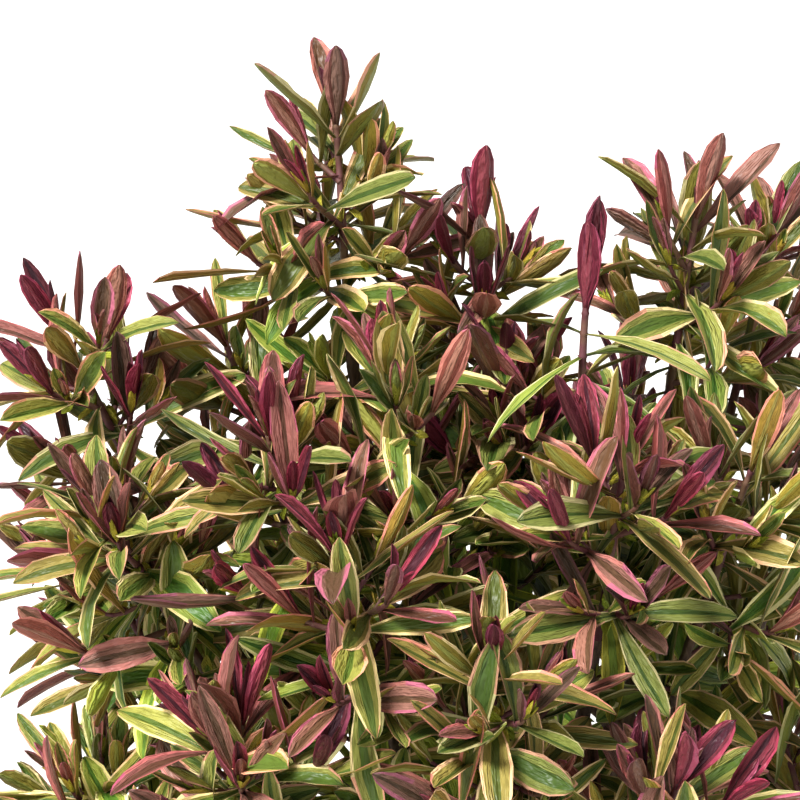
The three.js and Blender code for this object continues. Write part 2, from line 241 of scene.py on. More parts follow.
# Where leaves start on a shoot, which way they lean, and where a leaf is tested against its neighbours
BARE_FOOT = {"share": 0.12, "length": 2}
AXIS_UPTURN = 0.2
LEAF_SAG = 0.012
LEAF_FOOT = 0.55
LEAF_MIDDLE = 0.6
LEAF_TRIES = [(swing, shorter) for shorter in (1, SHRINK, SHRINK ** 2) for swing in (0, 20, -20, 42)]
LEAF_TESTS = (0.35, 0.7, 1.0)
SPACE_MARGINS = (-6, -14, -22)
WOOD_MARGINS = (0.35, 0.3, 0.05)
BOX_SPARE = 4
MOST_TRIANGLES = 190000

# The finer twigs: more shoots on each stem, most of them low in the crown, small ones on the side shoots,
# and some on the outer part of each limb. Places, tilts and lengths are random ranges, as for leaves
EXTRA_SHOOTS = 6
EXTRA_BELOW = 330
FULLER = {"spire": 3, "spire_east": 1, "west_low": 2, "west_skirt": 3, "far_west": 2}
FINE_TURN = 68
FINE_LOW = {"along": 0.1, "tilt": 78, "reach": 27}
FINE_HIGH = {"along": 0.8, "tilt": 46, "reach": 16}
TWIG = {
    "least": 17, "places": (0.3, 0.25), "tilts": (52, 20), "upturn": 0.35, "lengths": (0.5, 0.2),
    "margin": -2, "tip_upturn": 0.8,
}
INNER = {
    "shares": (0.42, 0.58, 0.74, 0.9), "tilt": 62, "upturn": 0.25, "tip_upturn": 0.9, "lengths": (18, 12),
    "tests": ((0.4,), (0.6,), (0.8,), (1.0,)), "lowest": 30,
}
SEED_STEPS = {"leaves": 131, "fine": 91, "inner": 57}
SHOOT_VIGOUR = {"leader": 1.06, "side": 0.97, "fine": 0.9, "twig": 0.78, "inner": 0.86}
SHOOT_GIRTH = {
    "leader": (1.9, 1.15),
    "side": (1.25, 0.85),
    "fine": (1.0, 0.7),
    "twig": (0.8, 0.55),
    "inner": (1.0, 0.7),
}
LEAF_LOSS = {"leader": 0.08, "side": 0.14, "fine": 0.2, "twig": 0.25, "inner": 0.0}
SHOOT_AGE = {"leader": 0, "side": 0, "fine": 1, "twig": 2, "inner": 4}

# Slivers of new leaves at a shoot's tip and scale leaves at its root: tilts and lengths as random ranges,
# breadth as a share of length. A sliver's length is a share of a full leaf's, a scale's is in millimetres
SLIVERS = {
    "count": 4, "turn": 45, "tilts": (5, 9), "lengths": (0.16, 0.14), "breadth": 0.24, "drop": 0.4,
    "out": 0.3,
}
SCALES = {"highest": 3.0, "share": 0.2, "tilts": (55, 20), "lengths": (5, 4), "breadth": 0.5, "out": 0.6}
BUD_SHAPE = {"curl": 0.0, "twist": 0.0, "fold": 0.6, "edge": 0.8, "vein": 0.25}
BUD_ARCHES = (-14, 20)
BUD_FLUSH = 0.5

# Colours of the parts of each kind of leaf, and the tints that are dealt out by spray
PARTS = ("margin", "flush", "blade", "streak", "under")
LEAF_COLOURS = {
    "wine": ("#983a4e", "#a0465e", "#76323c", "#421e28", "#641a2c"),
    "rose": ("#ac6c62", "#ae6072", "#8a6052", "#543c2a", "#7a4238"),
    "olive": ("#e6d094", "#e0a080", "#8a8c42", "#4a5e22", "#8e8030"),
    "cream": ("#ece4a2", "#f0dc94", "#8c9a40", "#42641e", "#96983c"),
    "shade": ("#dce85a", "#e4ea6c", "#9aac38", "#64882a", "#a2b43e"),
    "bud": ("#dcd854", "#d4a448", "#b0bc3c", "#7e9c2c", "#bab23a"),
}
TINTS = ((1.0, 1.0, 1.0), (0.58, 0.64, 0.62), (1.26, 1.2, 1.12), (1.10, 0.84, 0.94))


def linear(hex_colour):
    """A colour written as #rrggbb, as the linear numbers that a shader takes."""
    values = [int(hex_colour[i:i + 2], 16) / 255 for i in (1, 3, 5)]
    return tuple(v / 12.92 if v <= 0.04045 else ((v + 0.055) / 1.055) ** 2.4 for v in values)


def amount_of(name, description, default, **options):
    return FloatProperty(name=name, description=description, default=default, **options)


def length_of(name, description, default, **limits):
    return amount_of(name, description, default, unit="LENGTH", precision=5, **limits)


def colour_of(name, description, default):
    return FloatVectorProperty(
        name=name, description=description, default=linear(default), size=3, subtype="COLOR", min=0.0,
        max=1.0)


class HEBE_PG_growth(bpy.types.PropertyGroup):
    """Sizes of leaves and twigs."""

    leaf_length: length_of("Leaf length", "Length of a full-grown leaf", 0.0435, min=0.005)
    leaf_width: length_of("Leaf width", "Width of a full-grown leaf", 0.0108, min=0.001)
    leaf_thickness: length_of("Leaf thickness", "Thickness under the midrib", 0.00055, min=0.0001)
    fold: amount_of(
        "Fold", "How far a blade folds up from its midrib", math.radians(24), subtype="ANGLE")
    fine_shoots: IntProperty(
        name="Fine shoots", description="Finer shoots on each main stem", default=2, min=0, max=12)
    seed: IntProperty(
        name="Seed", description="Start of the fixed stream of random numbers", default=7024, min=1)


class HEBE_PG_leaf_colours(bpy.types.PropertyGroup):
    """Colours of the parts of each kind of leaf."""

    __annotations__ = {
        f"{kind}_{part}": colour_of(
            f"{kind} {part}".capitalize(), f"Colour of the {part} of {kind} leaves", colour)
        for kind, colours in LEAF_COLOURS.items()
        for part, colour in zip(PARTS, colours)
    }


class HEBE_PG_bark(bpy.types.PropertyGroup):
    """Relief and colours of the bark and the twigs."""

    relief: length_of("Relief", "Depth of the fissures in the bark", 0.0007, min=0.0)
    twig_relief: length_of("Twig relief", "Depth of the ribs on the twigs", 0.00012, min=0.0)
    sides: IntProperty(name="Sides", description="Faces round a limb", default=20, min=6, max=64)
    ridge: colour_of("Ridges", "Weathered colour of the ridges", "#7d6653")
    fissure: colour_of("Fissures", "Colour in the fissures", "#2c1d17")
    twig: colour_of("Twigs", "Colour of the young twigs", "#5d2f33")
    twig_green: colour_of("Green twigs", "Colour of patches on the young twigs", "#7a6a3c")


class HEBE_PG_stage(bpy.types.PropertyGroup):
    """Floor, light and camera."""

    floor: colour_of("Floor", "Colour of the floor", "#dad9d7")
    floor_size: length_of("Floor size", "Radius of the floor", 60.0, min=1.0)
    dome: amount_of("Dome", "Strength of the light from the horizon", 0.78, min=0.0)
    overhead: amount_of("Overhead", "Strength of the light from overhead", 0.48, min=0.0)
    key: amount_of("Key light", "Strength of the soft light from above", 7.6, min=0.0)
    softness: amount_of("Softness", "Width of the key light", math.radians(20), subtype="ANGLE")
    target: FloatVectorProperty(
        name="Target", description="Point that the camera looks at", default=(-0.043, -0.060, 0.272),
        subtype="XYZ", unit="LENGTH")
    distance: length_of("Distance", "From the camera to its target", 1.1, min=0.1)
    elevation: amount_of(
        "Elevation", "Camera's height above the horizon", math.radians(8), subtype="ANGLE")
    view_width: length_of("View width", "Width that the camera sees at its target", 0.288, min=0.01)


SETTINGS = {
    "hebe_growth": HEBE_PG_growth,
    "hebe_leaf_colours": HEBE_PG_leaf_colours,
    "hebe_bark": HEBE_PG_bark,
    "hebe_stage": HEBE_PG_stage,
}


# Growth, in millimetres

def unit(vector):
    return vector / np.linalg.norm(vector)


def mix(a, weight_a, b, weight_b):
    return unit(a * weight_a + b * weight_b)


def square(vector, axis):
    """The unit vector square to an axis, on the side that another vector points to."""
    return unit(vector - axis * (vector @ axis))


def around(axis, bearing):
    """The unit vector square to an axis at a bearing in degrees, counted from the east."""
    u = square(EAST, axis)
    v = np.cross(axis, u)
    return mix(u, math.cos(math.radians(bearing)), v, math.sin(math.radians(bearing)))


def leaning(axis, out, angle):
    """The direction that leans from an axis by an angle in degrees, towards a unit vector square to it."""
    return mix(axis, math.cos(math.radians(angle)), out, math.sin(math.radians(angle)))


def lerp(a, b, share):
    return a + (b - a) * share


def random_stream(seed):
    """A fixed stream of numbers from 0 to 1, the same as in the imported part."""
    state = seed

    def draw():
        nonlocal state
        state = state * 48271 % 2147483647
        return state / 2147483647

    return draw


def ranged(draw, lowest, width, power=1):
    """The next random number, taken to the range of a width above a lowest value."""
    return lowest + width * draw() ** power


def either_way(draw, width):
    """The next random number, taken to the range of a width about zero."""
    return (draw() - 0.5) * width


def widening(number, first, step, last=math.inf):
    """A width that grows with the number of a pair, up to a last pair."""
    return first + step * min(number, last)


def by_age(number, young_pairs, young, old):
    return young if number < young_pairs else old


def bezier(points, t):
    """Places on a cubic curve at shares t of its parameter, and the unit directions there."""
    t = np.asarray(t, float)[..., None]
    a, b, c, d = points
    place = a * (1 - t) ** 3 + 3 * b * t * (1 - t) ** 2 + 3 * c * t ** 2 * (1 - t) + d * t ** 3
    way = (b - a) * (1 - t) ** 2 + 2 * (c - b) * t * (1 - t) + (d - c) * t ** 2
    return place, way / np.linalg.norm(way, axis=-1, keepdims=True)


class Path:
    """A cubic curve that is measured by length."""

    def __init__(self, points):
        self.points = points
        self.parameter = np.linspace(0, 1, CURVE_SAMPLES + 1)
        places = bezier(points, self.parameter)[0]
        self.distance = np.concatenate([[0], np.cumsum(np.linalg.norm(np.diff(places, axis=0), axis=1))])
        self.length = self.distance[-1]

    def at(self, distance):
        return bezier(self.points, np.interp(distance, self.distance, self.parameter))


@dataclass
class Mass:
    name: str
    parent: str
    at: float
    shoots: int
    turn: float
    look: str
    seed: int
    tip: np.ndarray
    axis: np.ndarray
    stem: float
    base: np.ndarray
    site: np.ndarray


@dataclass
class Shoot:
    kind: str
    mass: int
    path: Path
    way: np.ndarray
    axis: np.ndarray
    bearing: float
    girth: tuple


def place_mass(index, row):
    name, parent, at, top, shoots, turn, look = row
    top = np.array(top, float)
    outward = np.array([top[0], top[1], 0.0])
    lean = OUTWARD_LEAN * np.linalg.norm(outward) / CROWN_RADIUS * math.sqrt(1 - top[2] / CROWN_TOP)
    axis = mix(UP, 1, unit(outward), lean)
    stem = SHORTEST_STEM + STEM_GROWTH * top[2]
    tip = top - axis * TOP_LEAF
    base = tip - axis * stem
    site = base + axis * stem * SITE_ALONG_STEM
    seed = FIRST_SEED + SEED_STEP * index
    return Mass(name, parent, at, shoots, turn, look, seed, tip, axis, stem, base, site)


def trunk_centre(share):
    lean = share ** TRUNK["lean_curve"]
    return np.array([TRUNK["lean_x"] * lean, TRUNK["lean_y"] * lean, TRUNK["height"] * share])


def limb_curve(mass, limbs):
    """The curve of a limb, from inside its parent to the foot of its mass."""
    if mass.parent == "trunk":
        start, forward = trunk_centre(mass.at), UP
    else:
        start, forward = bezier(limbs[mass.parent], mass.at)
    way = mass.base - start
    aside = square(way, forward)
    hold = np.linalg.norm(way) * CURVE_HOLD
    leave = forward if mass.at == LEADER_AT else mix(forward, 1, aside, BRANCH_OUT)
    return [start, start + leave * hold, mass.base - mass.axis * hold, mass.base]


class Crown:
    """The masses, their limbs and the wood that twigs and leaves keep clear of."""

    def __init__(self):
        self.masses = [place_mass(index, row) for index, row in enumerate(MASSES)]
        self.limbs = {}
        for mass in self.masses:
            self.limbs[mass.name] = limb_curve(mass, self.limbs)
        self.sites = np.array([mass.site for mass in self.masses])
        starts, ends, radii, owners = [], [], [], []
        for mass in self.masses:
            places = bezier(self.limbs[mass.name], np.linspace(0, 1, LIMB_SAMPLES + 1))[0]
            root, tip = self.size(mass)
            starts += list(places[:-1])
            ends += list(places[1:])
            radii += [lerp(root, tip, i / LIMB_SAMPLES) for i in range(LIMB_SAMPLES)]
            owners += [-1] * LIMB_SAMPLES
        for index, mass in enumerate(self.masses):
            starts.append(mass.base + mass.axis * CLEARANCE)
            ends.append(mass.tip)
            radii.append(MAIN_BOUGH[1])
            owners.append(index)
        self.starts, self.spans = np.array(starts), np.array(ends) - np.array(starts)
        self.radii, self.owners = np.array(radii), np.array(owners)

    def size(self, mass):
        return MAIN_BOUGH if mass.parent == "trunk" else SIDE_BOUGH

    def inside_space(self, index, points, margins):
        """True if every point is nearer to this mass's middle than to any other's, and above the ground."""
        apart = np.linalg.norm(self.sites - self.sites[index], axis=1)
        apart[index] = 1
        squares = ((points[:, None] - self.sites) ** 2).sum(axis=2)
        depth = (squares - squares[:, index:index + 1]) / (2 * apart)
        depth[:, index] = FAR
        return bool((points[:, 2] >= LOWEST_LEAF).all() and (depth.min(axis=1) > margins).all())

    def nearest(self, point):
        """The number of the mass in whose space a point lies."""
        return int(np.argmin(((self.sites - point) ** 2).sum(axis=1)))

    def clear_of_wood(self, index, points, half_widths):
        """True if every point keeps its half width off each limb, and off the stem of each other mass."""
        along = ((points[:, None] - self.starts) * self.spans).sum(axis=2) / (self.spans ** 2).sum(axis=1)
        nearest = self.starts + np.clip(along, 0, 1)[..., None] * self.spans
        gap = np.linalg.norm(points[:, None] - nearest, axis=2) - self.radii
        gap[:, self.owners == index] = FAR
        return bool((gap.min(axis=1) > np.asarray(half_widths) + CLEARANCE).all())

    def twig_fits(self, index, start, end, radius):
        shares = np.linspace(0, 1, TWIG_SAMPLES + 1)[:, None]
        points = start + (end - start) * shares
        inside = self.inside_space(index, points, radius + CLEARANCE)
        return inside and self.clear_of_wood(index, points, radius)


def upturned(start, tip, way, axis):
    """A shoot's curve: it leaves along one direction and turns up to another at its tip."""
    length = np.linalg.norm(tip - start)
    ending = mix(way, 1, axis, SHOOT_CURVE["upturn"])
    leave = start + way * length * SHOOT_CURVE["leave"]
    return Path([start, leave, tip - ending * length * SHOOT_CURVE["arrive"], tip])


def side_shoot(crown, index, kind, root, bearing, tilt, reach):
    """The longest shoot from a root that fits the mass's space, or None."""
    mass = crown.masses[index]
    way = leaning(mass.axis, around(mass.axis, bearing), tilt)
    length = reach
    while length > SHORTEST_SHOOT:
        tip = root + way * length
        if crown.twig_fits(index, root, tip, SHOOT_RADIUS):
            axis = mix(way, 1, UP, SHOOT_UPTURN)
            return Shoot(kind, index, upturned(root, tip, way, axis), way, axis, bearing, SHOOT_GIRTH[kind])
        length *= SHRINK
    return None


def ring_shoot(crown, index, kind, draw, bearing, rise, low, high):
    """A shoot from a stem, about at a bearing: wide and long low on the stem, steep and short higher up."""
    mass = crown.masses[index]
    bearing += either_way(draw, BEARING_SPREAD)
    tilt = lerp(low["tilt"], high["tilt"], rise) + either_way(draw, TILT_SPREAD)
    reach = lerp(low["reach"], high["reach"], rise) * ranged(draw, *SHOOT_REACHES)
    root = mass.base + mass.axis * mass.stem * lerp(low["along"], high["along"], rise)
    return side_shoot(crown, index, kind, root, bearing, tilt, reach)


def main_shoots(crown, index):
    """The leader and the side shoots of a mass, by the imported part's own rule and random numbers."""
    mass = crown.masses[index]
    draw = random_stream(mass.seed)
    start = mass.base - mass.axis * STEM_ROOT
    way = mass.axis
    bow = around(way, mass.turn + STEM_BOW["turn"]) * mass.stem * STEM_BOW["share"]
    low, high = (lerp(start, mass.tip, share) for share in STEM_BOW["places"])
    path = Path([start, low + bow, high - bow, mass.tip])
    shoots = [Shoot("leader", index, path, way, way, mass.turn, SHOOT_GIRTH["leader"])]
    for k in range(mass.shoots):
        rise = k / max(mass.shoots - 1, 1)
        bearing = mass.turn + k * GOLDEN_ANGLE
        shoots.append(ring_shoot(crown, index, "side", draw, bearing, rise, LOW_SHOOT, HIGH_SHOOT))
    return [shoot for shoot in shoots if shoot]


def finer_shoots(crown, index, main, count, seed):
    """More shoots between the main ones, and small twigs on the longer side shoots."""
    mass = crown.masses[index]
    draw = random_stream(seed + SEED_STEPS["fine"] * index)
    shoots = []
    for k in range(count):
        rise = (k + 0.5) / count * (SHUT["stem"] if mass.name in CLOSED_BUDS else 1)
        bearing = mass.turn + FINE_TURN + k * GOLDEN_ANGLE
        shoots.append(ring_shoot(crown, index, "fine", draw, bearing, rise, FINE_LOW, FINE_HIGH))
    for shoot in main[1:]:
        if shoot.path.length < TWIG["least"]:
            continue
        place, way = shoot.path.at(shoot.path.length * ranged(draw, *TWIG["places"]))
        out = around(way, shoot.bearing + 90 + 180 * round(draw()))
        direction = mix(leaning(way, out, ranged(draw, *TWIG["tilts"])), 1, UP, TWIG["upturn"])
        tip = place + direction * shoot.path.length * ranged(draw, *TWIG["lengths"])
        if crown.inside_space(index, np.array([tip]), TWIG["margin"]):
            axis = mix(direction, 1, UP, TWIG["tip_upturn"])
            path = upturned(place, tip, direction, axis)
            shoots.append(Shoot("twig", index, path, direction, axis, shoot.bearing, SHOOT_GIRTH["twig"]))
    return [shoot for shoot in shoots if shoot]


def inner_shoots(crown, index, seed):
    """Twigs on the outer part of a mass's limb, which carry the shaded leaves inside the crown."""
    mass = crown.masses[index]
    draw = random_stream(seed + SEED_STEPS["inner"] * index)
    shoots = []
    for k, share in enumerate(INNER["shares"]):
        root, forward = bezier(crown.limbs[mass.name], share)
        bearing = mass.turn + k * GOLDEN_ANGLE + either_way(draw, BEARING_SPREAD)
        way = mix(leaning(forward, around(forward, bearing), INNER["tilt"]), 1, UP, INNER["upturn"])
        axis = mix(way, 1, UP, INNER["tip_upturn"])
        tip = root + way * ranged(draw, *INNER["lengths"])
        space = crown.nearest(tip)
        free = root + (tip - root) * np.array(INNER["tests"])
        if tip[2] > INNER["lowest"] and crown.clear_of_wood(space, free, SHOOT_RADIUS):
            path = upturned(root, tip, way, axis)
            shoots.append(Shoot("inner", space, path, way, axis, bearing, SHOOT_GIRTH["inner"]))
    return shoots


LEAF_FIELDS = (
    "root", "way", "face", "size", "breadth", "arch", "curl", "twist", "fold", "edge", "vein", "flush",
    "tint", "lot",
)


def leaf_age(number):
    """The row of LEAF_AGES for a pair, carried on past its end for the oldest pairs."""
    last = len(LEAF_AGES) - 1
    back, *rest = LEAF_AGES[min(number, last)]
    return (back + OLDER_STEP * max(number - last, 0), *rest)


def leaf_spine(leaf, shares):
    """Points along the middle of a leaf."""
    angle = leaf["arch"] * np.asarray(shares)
    run = leaf["size"] * np.sin(angle) / leaf["arch"]
    drop = leaf["size"] * ((1 - np.cos(angle)) / leaf["arch"] + leaf["curl"] * np.asarray(shares) ** 3)
    return leaf["root"] + run[:, None] * leaf["way"] - drop[:, None] * leaf["face"]


def leaf_fits(crown, index, leaf, low, high):
    points = leaf_spine(leaf, LEAF_TESTS)
    if (points < low).any() or (points > high).any():
        return False
    half_widths = leaf["breadth"] * np.array(WOOD_MARGINS)
    inside = crown.inside_space(index, points, SPACE_MARGINS)
    return inside and crown.clear_of_wood(index, points, half_widths)


def bent(angle):
    """An angle in radians from one in degrees, kept off zero so that it can be divided by."""
    return math.radians(angle if abs(angle) > 1 else 1)


def leaf_kind(kinds, number, shaded, shut, draw):
    """The kind of a leaf by its age, changed at random to the one for shade or the one next to its own."""
    kind = KINDS[kinds[min(number, len(kinds) - 1)]]
    kind = "shade" if shaded and draw() < SHADE["share"] else kind
    if draw() < CHANGE_SHARE and kind != "shade":
        kind = CHANGED_KIND[kind]
    return "wine" if shut else kind


def leaf_shape(settings, kind, width_share, vigour, arch, number, loose, tint, draw):
    """The width, bends, margin and tint of a leaf. The random numbers are drawn in this order."""
    return {
        "breadth": settings["leaf_width"] * width_share * vigour ** 0.5 * ranged(draw, *LEAF_WIDTHS),
        "arch": bent(arch + either_way(draw, widening(number, *ARCH_STRAY)) * loose),
        "curl": either_way(draw, widening(number, *CURL_STRAY)) * loose,
        "twist": math.radians(either_way(draw, widening(number, *TWIST_STRAY)) * loose),
        "fold": settings["fold"] * ranged(draw, *LEAF_FOLDS) * by_age(number, *FOLD_BY_AGE),
        "edge": lerp(*MARGIN_STARTS[kind], draw()),
        "vein": ranged(draw, *VEIN_PLACES),
        "flush": ranged(draw, 0, by_age(number, *FLUSH_BY_AGE), FLUSH_POWER),
        "tint": tint,
        "lot": draw() * LOTS,
    }


def grow_leaves(crown, shoot, settings, draw, leaves, low, high):
    """Adds the leaf pairs of a shoot, from its tip down to its bare foot, to the lists of leaves by kind."""
    mass = crown.masses[shoot.mass]
    vigour = SHOOT_VIGOUR[shoot.kind] * ranged(draw, *VIGOURS)
    spray_tint = math.floor(draw() * len(TINTS))
    crimson = mass.name in CRIMSON_TUFTS and shoot.kind in ("leader", "side")
    kinds = KINDS_BY_AGE["wine" if crimson else mass.look]
    number = 0
    while True:
        back, length_share, width_share, spread, arch = leaf_age(number)
        left = shoot.path.length - back
        if left < shoot.path.length * BARE_FOOT["share"] + BARE_FOOT["length"]:
            break
        shut = shoot.kind == "leader" and mass.name in CLOSED_BUDS and number < SHUT["pairs"]
        loose = SHUT["loose"] if shut else 1
        if shut:
            length_share *= SHUT["length"]
            width_share *= SHUT["width"]
            spread *= SHUT["spread"]
            arch = SHUT["arch"]
        place, tangent = shoot.path.at(left)
        upright = mix(shoot.axis, 1, UP, AXIS_UPTURN)
        axis = mix(tangent, 1, upright, 0.0 if shoot.kind == "leader" else 1.0)
        girth = lerp(shoot.girth[1], shoot.girth[0], min(back / shoot.path.length, 1))
        deepest = SHADE["depth"] - SHADE["narrowing"] * (place[2] / CROWN_TOP)
        inner = math.hypot(place[0], place[1]) < deepest
        shaded = inner and number > SHADE["after"] and place[2] < SHADE["below"]
        for side in (0, 180):
            kind = leaf_kind(kinds, number + SHOOT_AGE[shoot.kind], shaded, shut, draw)
            bearing = shoot.bearing + 90 * number + side + either_way(draw, widening(number, *BEARING_STRAY))
            lean = spread + either_way(draw, widening(number, *LEAN_STRAY)) * loose
            length = settings["leaf_length"] * length_share * vigour * ranged(draw, *LEAF_LENGTHS)
            tint = spray_tint if draw() < SPRAY_TINT_SHARE else math.floor(draw() * len(TINTS))
            leaf = leaf_shape(settings, kind, width_share, vigour, arch, number, loose, tint, draw)
            for swing, shorter in LEAF_TRIES:
                out = around(axis, bearing + swing)
                way = mix(leaning(axis, out, lean), 1, -UP, LEAF_SAG * number)
                root = place + out * girth * LEAF_FOOT
                leaf.update(root=root, way=way, face=square(axis, way), size=length * shorter)
                middle = leaf_spine(leaf, [LEAF_MIDDLE])[0]
                space = crown.nearest(middle) if shoot.kind == "inner" else shoot.mass
                if leaf_fits(crown, space, leaf, low, high):
                    if draw() > LEAF_LOSS[shoot.kind]:
                        leaves[kind].append(leaf)
                    break
        number += 1


def bud_leaf(root, way, axis, size, breadth, draw):
    return {
        "root": root, "way": way, "face": square(axis, way), "size": size, "breadth": breadth, **BUD_SHAPE,
        "arch": bent(ranged(draw, *BUD_ARCHES)), "flush": draw() * BUD_FLUSH,
        "tint": math.floor(draw() * len(TINTS)), "lot": draw() * LOTS,
    }


def grow_buds(shoot, settings, draw, buds):
    """Adds the slivers of new leaves at a shoot's tip, and the scale leaves round its root."""
    tip, tangent = shoot.path.at(shoot.path.length)
    for k in range(SLIVERS["count"]):
        out = around(tangent, shoot.bearing + SLIVERS["turn"] + 90 * k)
        way = leaning(tangent, out, ranged(draw, *SLIVERS["tilts"]))
        size = settings["leaf_length"] * ranged(draw, *SLIVERS["lengths"])
        root = tip - tangent * SLIVERS["drop"] + out * SLIVERS["out"]
        buds.append(bud_leaf(root, way, tangent, size, size * SLIVERS["breadth"], draw))
    if shoot.kind == "leader":
        return
    place, tangent = shoot.path.at(min(SCALES["highest"], shoot.path.length * SCALES["share"]))
    for side in (0, 180):
        out = around(tangent, shoot.bearing + side)
        way = leaning(tangent, out, ranged(draw, *SCALES["tilts"]))
        size = ranged(draw, *SCALES["lengths"])
        buds.append(bud_leaf(place + out * SCALES["out"], way, tangent, size, size * SCALES["breadth"], draw))


@lru_cache(maxsize=1)
def grow_crown(leaf_length, leaf_width, fold, fine_shoots, seed):
    """All shoots, and all leaves by kind, for a set of sizes in millimetres."""
    crown = Crown()
    settings = {"leaf_length": leaf_length, "leaf_width": leaf_width, "fold": fold}
    low = np.array(CAD_BOX[0]) / MM - BOX_SPARE
    high = np.array(CAD_BOX[1]) / MM + BOX_SPARE
    low[2] = LOWEST_LEAF
    leaves = {kind: [] for kind in LEAF_COLOURS}
    shoots = []
    for index, mass in enumerate(crown.masses):
        main = main_shoots(crown, index)
        draw = random_stream(seed + SEED_STEPS["leaves"] * index)
        lower = EXTRA_SHOOTS * max(0, 1 - mass.tip[2] / EXTRA_BELOW)
        count = fine_shoots + round(lower) + FULLER.get(mass.name, 0)
        finer = finer_shoots(crown, index, main, count, seed) + inner_shoots(crown, index, seed)
        for shoot in main + finer:
            grow_leaves(crown, shoot, settings, draw, leaves, low, high)
            grow_buds(shoot, settings, draw, leaves["bud"])
            shoots.append(shoot)
    return crown, shoots, leaves


def grown(scene):
    """The crown, its shoots and its leaves, by the settings of the scene."""
    growth = scene.hebe_growth
    length, width = growth.leaf_length / MM, growth.leaf_width / MM
    return grow_crown(length, width, growth.fold, growth.fine_shoots, growth.seed)


# Node trees, written as sums

def is_vector(value):
    if isinstance(value, Wire):
        return value.socket.type == "VECTOR"
    return isinstance(value, (tuple, list))


def combined(operation, a, b):
    """A sum on two values: vectors go through Vector Math and numbers through Math."""
    tree = a.tree if isinstance(a, Wire) else b.tree
    if is_vector(a) and is_vector(b):
        return tree.add("ShaderNodeVectorMath", {"operation": operation}, {0: a, 1: b})
    if is_vector(a) or is_vector(b):
        if operation != "MULTIPLY":
            raise TypeError("A vector and a number can only be multiplied")
        vector, number = (a, b) if is_vector(a) else (b, a)
        return tree.add("ShaderNodeVectorMath", {"operation": "SCALE"}, {0: vector, "Scale": number})
    return tree.add("ShaderNodeMath", {"operation": operation}, {0: a, 1: b})


class Wire:
    """A node's output, which Python's operators can add, multiply and compare."""

    def __init__(self, tree, socket):
        self.tree = tree
        self.socket = socket

    def __add__(self, other):
        return combined("ADD", self, other)

    def __radd__(self, other):
        return combined("ADD", other, self)

    def __sub__(self, other):
        return combined("SUBTRACT", self, other)

    def __rsub__(self, other):
        return combined("SUBTRACT", other, self)

    def __mul__(self, other):
        return combined("MULTIPLY", self, other)

    def __rmul__(self, other):
        return combined("MULTIPLY", other, self)

    def __truediv__(self, other):
        return combined("DIVIDE", self, other)

    def __rtruediv__(self, other):
        return combined("DIVIDE", other, self)

    def __pow__(self, other):
        return combined("POWER", self, other)

    def __rpow__(self, other):
        return combined("POWER", other, self)

    def __gt__(self, other):
        return combined("GREATER_THAN", self, other)

    def __lt__(self, other):
        return combined("LESS_THAN", self, other)

    def math(self, operation, *others):
        inputs = dict(enumerate((self, *others)))
        return self.tree.add("ShaderNodeMath", {"operation": operation}, inputs)

    def sin(self):
        return self.math("SINE")

    def cos(self):
        return self.math("COSINE")

    def size(self):
        return self.math("ABSOLUTE")

    def clamped(self):
        """The value, kept from 0 to 1."""
        return self.math("MINIMUM", 1.0).math("MAXIMUM", 0.0)

    def equals(self, number):
        return self.math("COMPARE", number, 0.5)

    def cross(self, other):
        return self.tree.add("ShaderNodeVectorMath", {"operation": "CROSS_PRODUCT"}, {0: self, 1: other})


class Tree:
    """A shader or geometry tree, to which nodes are added one at a time."""

    def __init__(self, tree):
        self.tree = tree

    def add(self, kind, settings=None, inputs=None, output=0):
        """Adds a node. Its settings are set first, then its sockets by name or number."""
        node = self.tree.nodes.new(kind)
        for name, value in (settings or {}).items():
            setattr(node, name, value)
        for place, value in (inputs or {}).items():
            if isinstance(value, Wire):
                self.tree.links.new(value.socket, node.inputs[place])
            else:
                node.inputs[place].default_value = value
        return Wire(self, node.outputs[output]) if node.outputs else node

    def attribute(self, name, kind="FLOAT"):
        return self.add("GeometryNodeInputNamedAttribute", {"data_type": kind}, {"Name": name})

    def noise(self, vector, scale=1.0, detail=2.0, roughness=0.5):
        inputs = {"Vector": vector, "Scale": scale, "Detail": detail, "Roughness": roughness}
        return self.add("ShaderNodeTexNoise", {}, inputs)

    def stretched(self, vector, scale):
        return self.add("ShaderNodeMapping", {}, {"Vector": vector, "Scale": scale})

    def vector(self, x, y, z):
        return self.add("ShaderNodeCombineXYZ", {}, {0: x, 1: y, 2: z})

    def split(self, vector):
        """The three numbers of a vector."""
        node = self.add("ShaderNodeSeparateXYZ", {}, {0: vector}).socket.node
        return [Wire(self, socket) for socket in node.outputs]

    def blend(self, share, a, b):
        """A mix of two colours."""
        return self.add("ShaderNodeMix", {"data_type": "RGBA"}, {0: share, 6: a, 7: b}, output=2)


def material_tree(name):
    material = bpy.data.materials.new(name)
    material.use_nodes = True
    material.node_tree.nodes.clear()
    return material, Tree(material.node_tree)


def finish_material(material, tree, inputs):
    surface = tree.add("ShaderNodeBsdfPrincipled", {}, inputs)
    tree.add("ShaderNodeOutputMaterial", {}, {"Surface": surface})
    return material


def bump(tree, height, strength, distance):
    inputs = {"Strength": strength, "Distance": distance, "Height": height}
    return tree.add("ShaderNodeBump", {}, inputs)


def geometry_tree(name, sizes):
    """A geometry tree with one geometry input and named inputs, and a way to read each of them."""
    group = bpy.data.node_groups.new(name, "GeometryNodeTree")
    group.interface.new_socket("Geometry", in_out="INPUT", socket_type="NodeSocketGeometry")
    for label, kind in sizes.items():
        group.interface.new_socket(label, in_out="INPUT", socket_type=kind)
    group.interface.new_socket("Geometry", in_out="OUTPUT", socket_type="NodeSocketGeometry")
    tree = Tree(group)
    entry = group.nodes.new("NodeGroupInput")
    return group, tree, {socket.name: Wire(tree, socket) for socket in entry.outputs if socket.name}


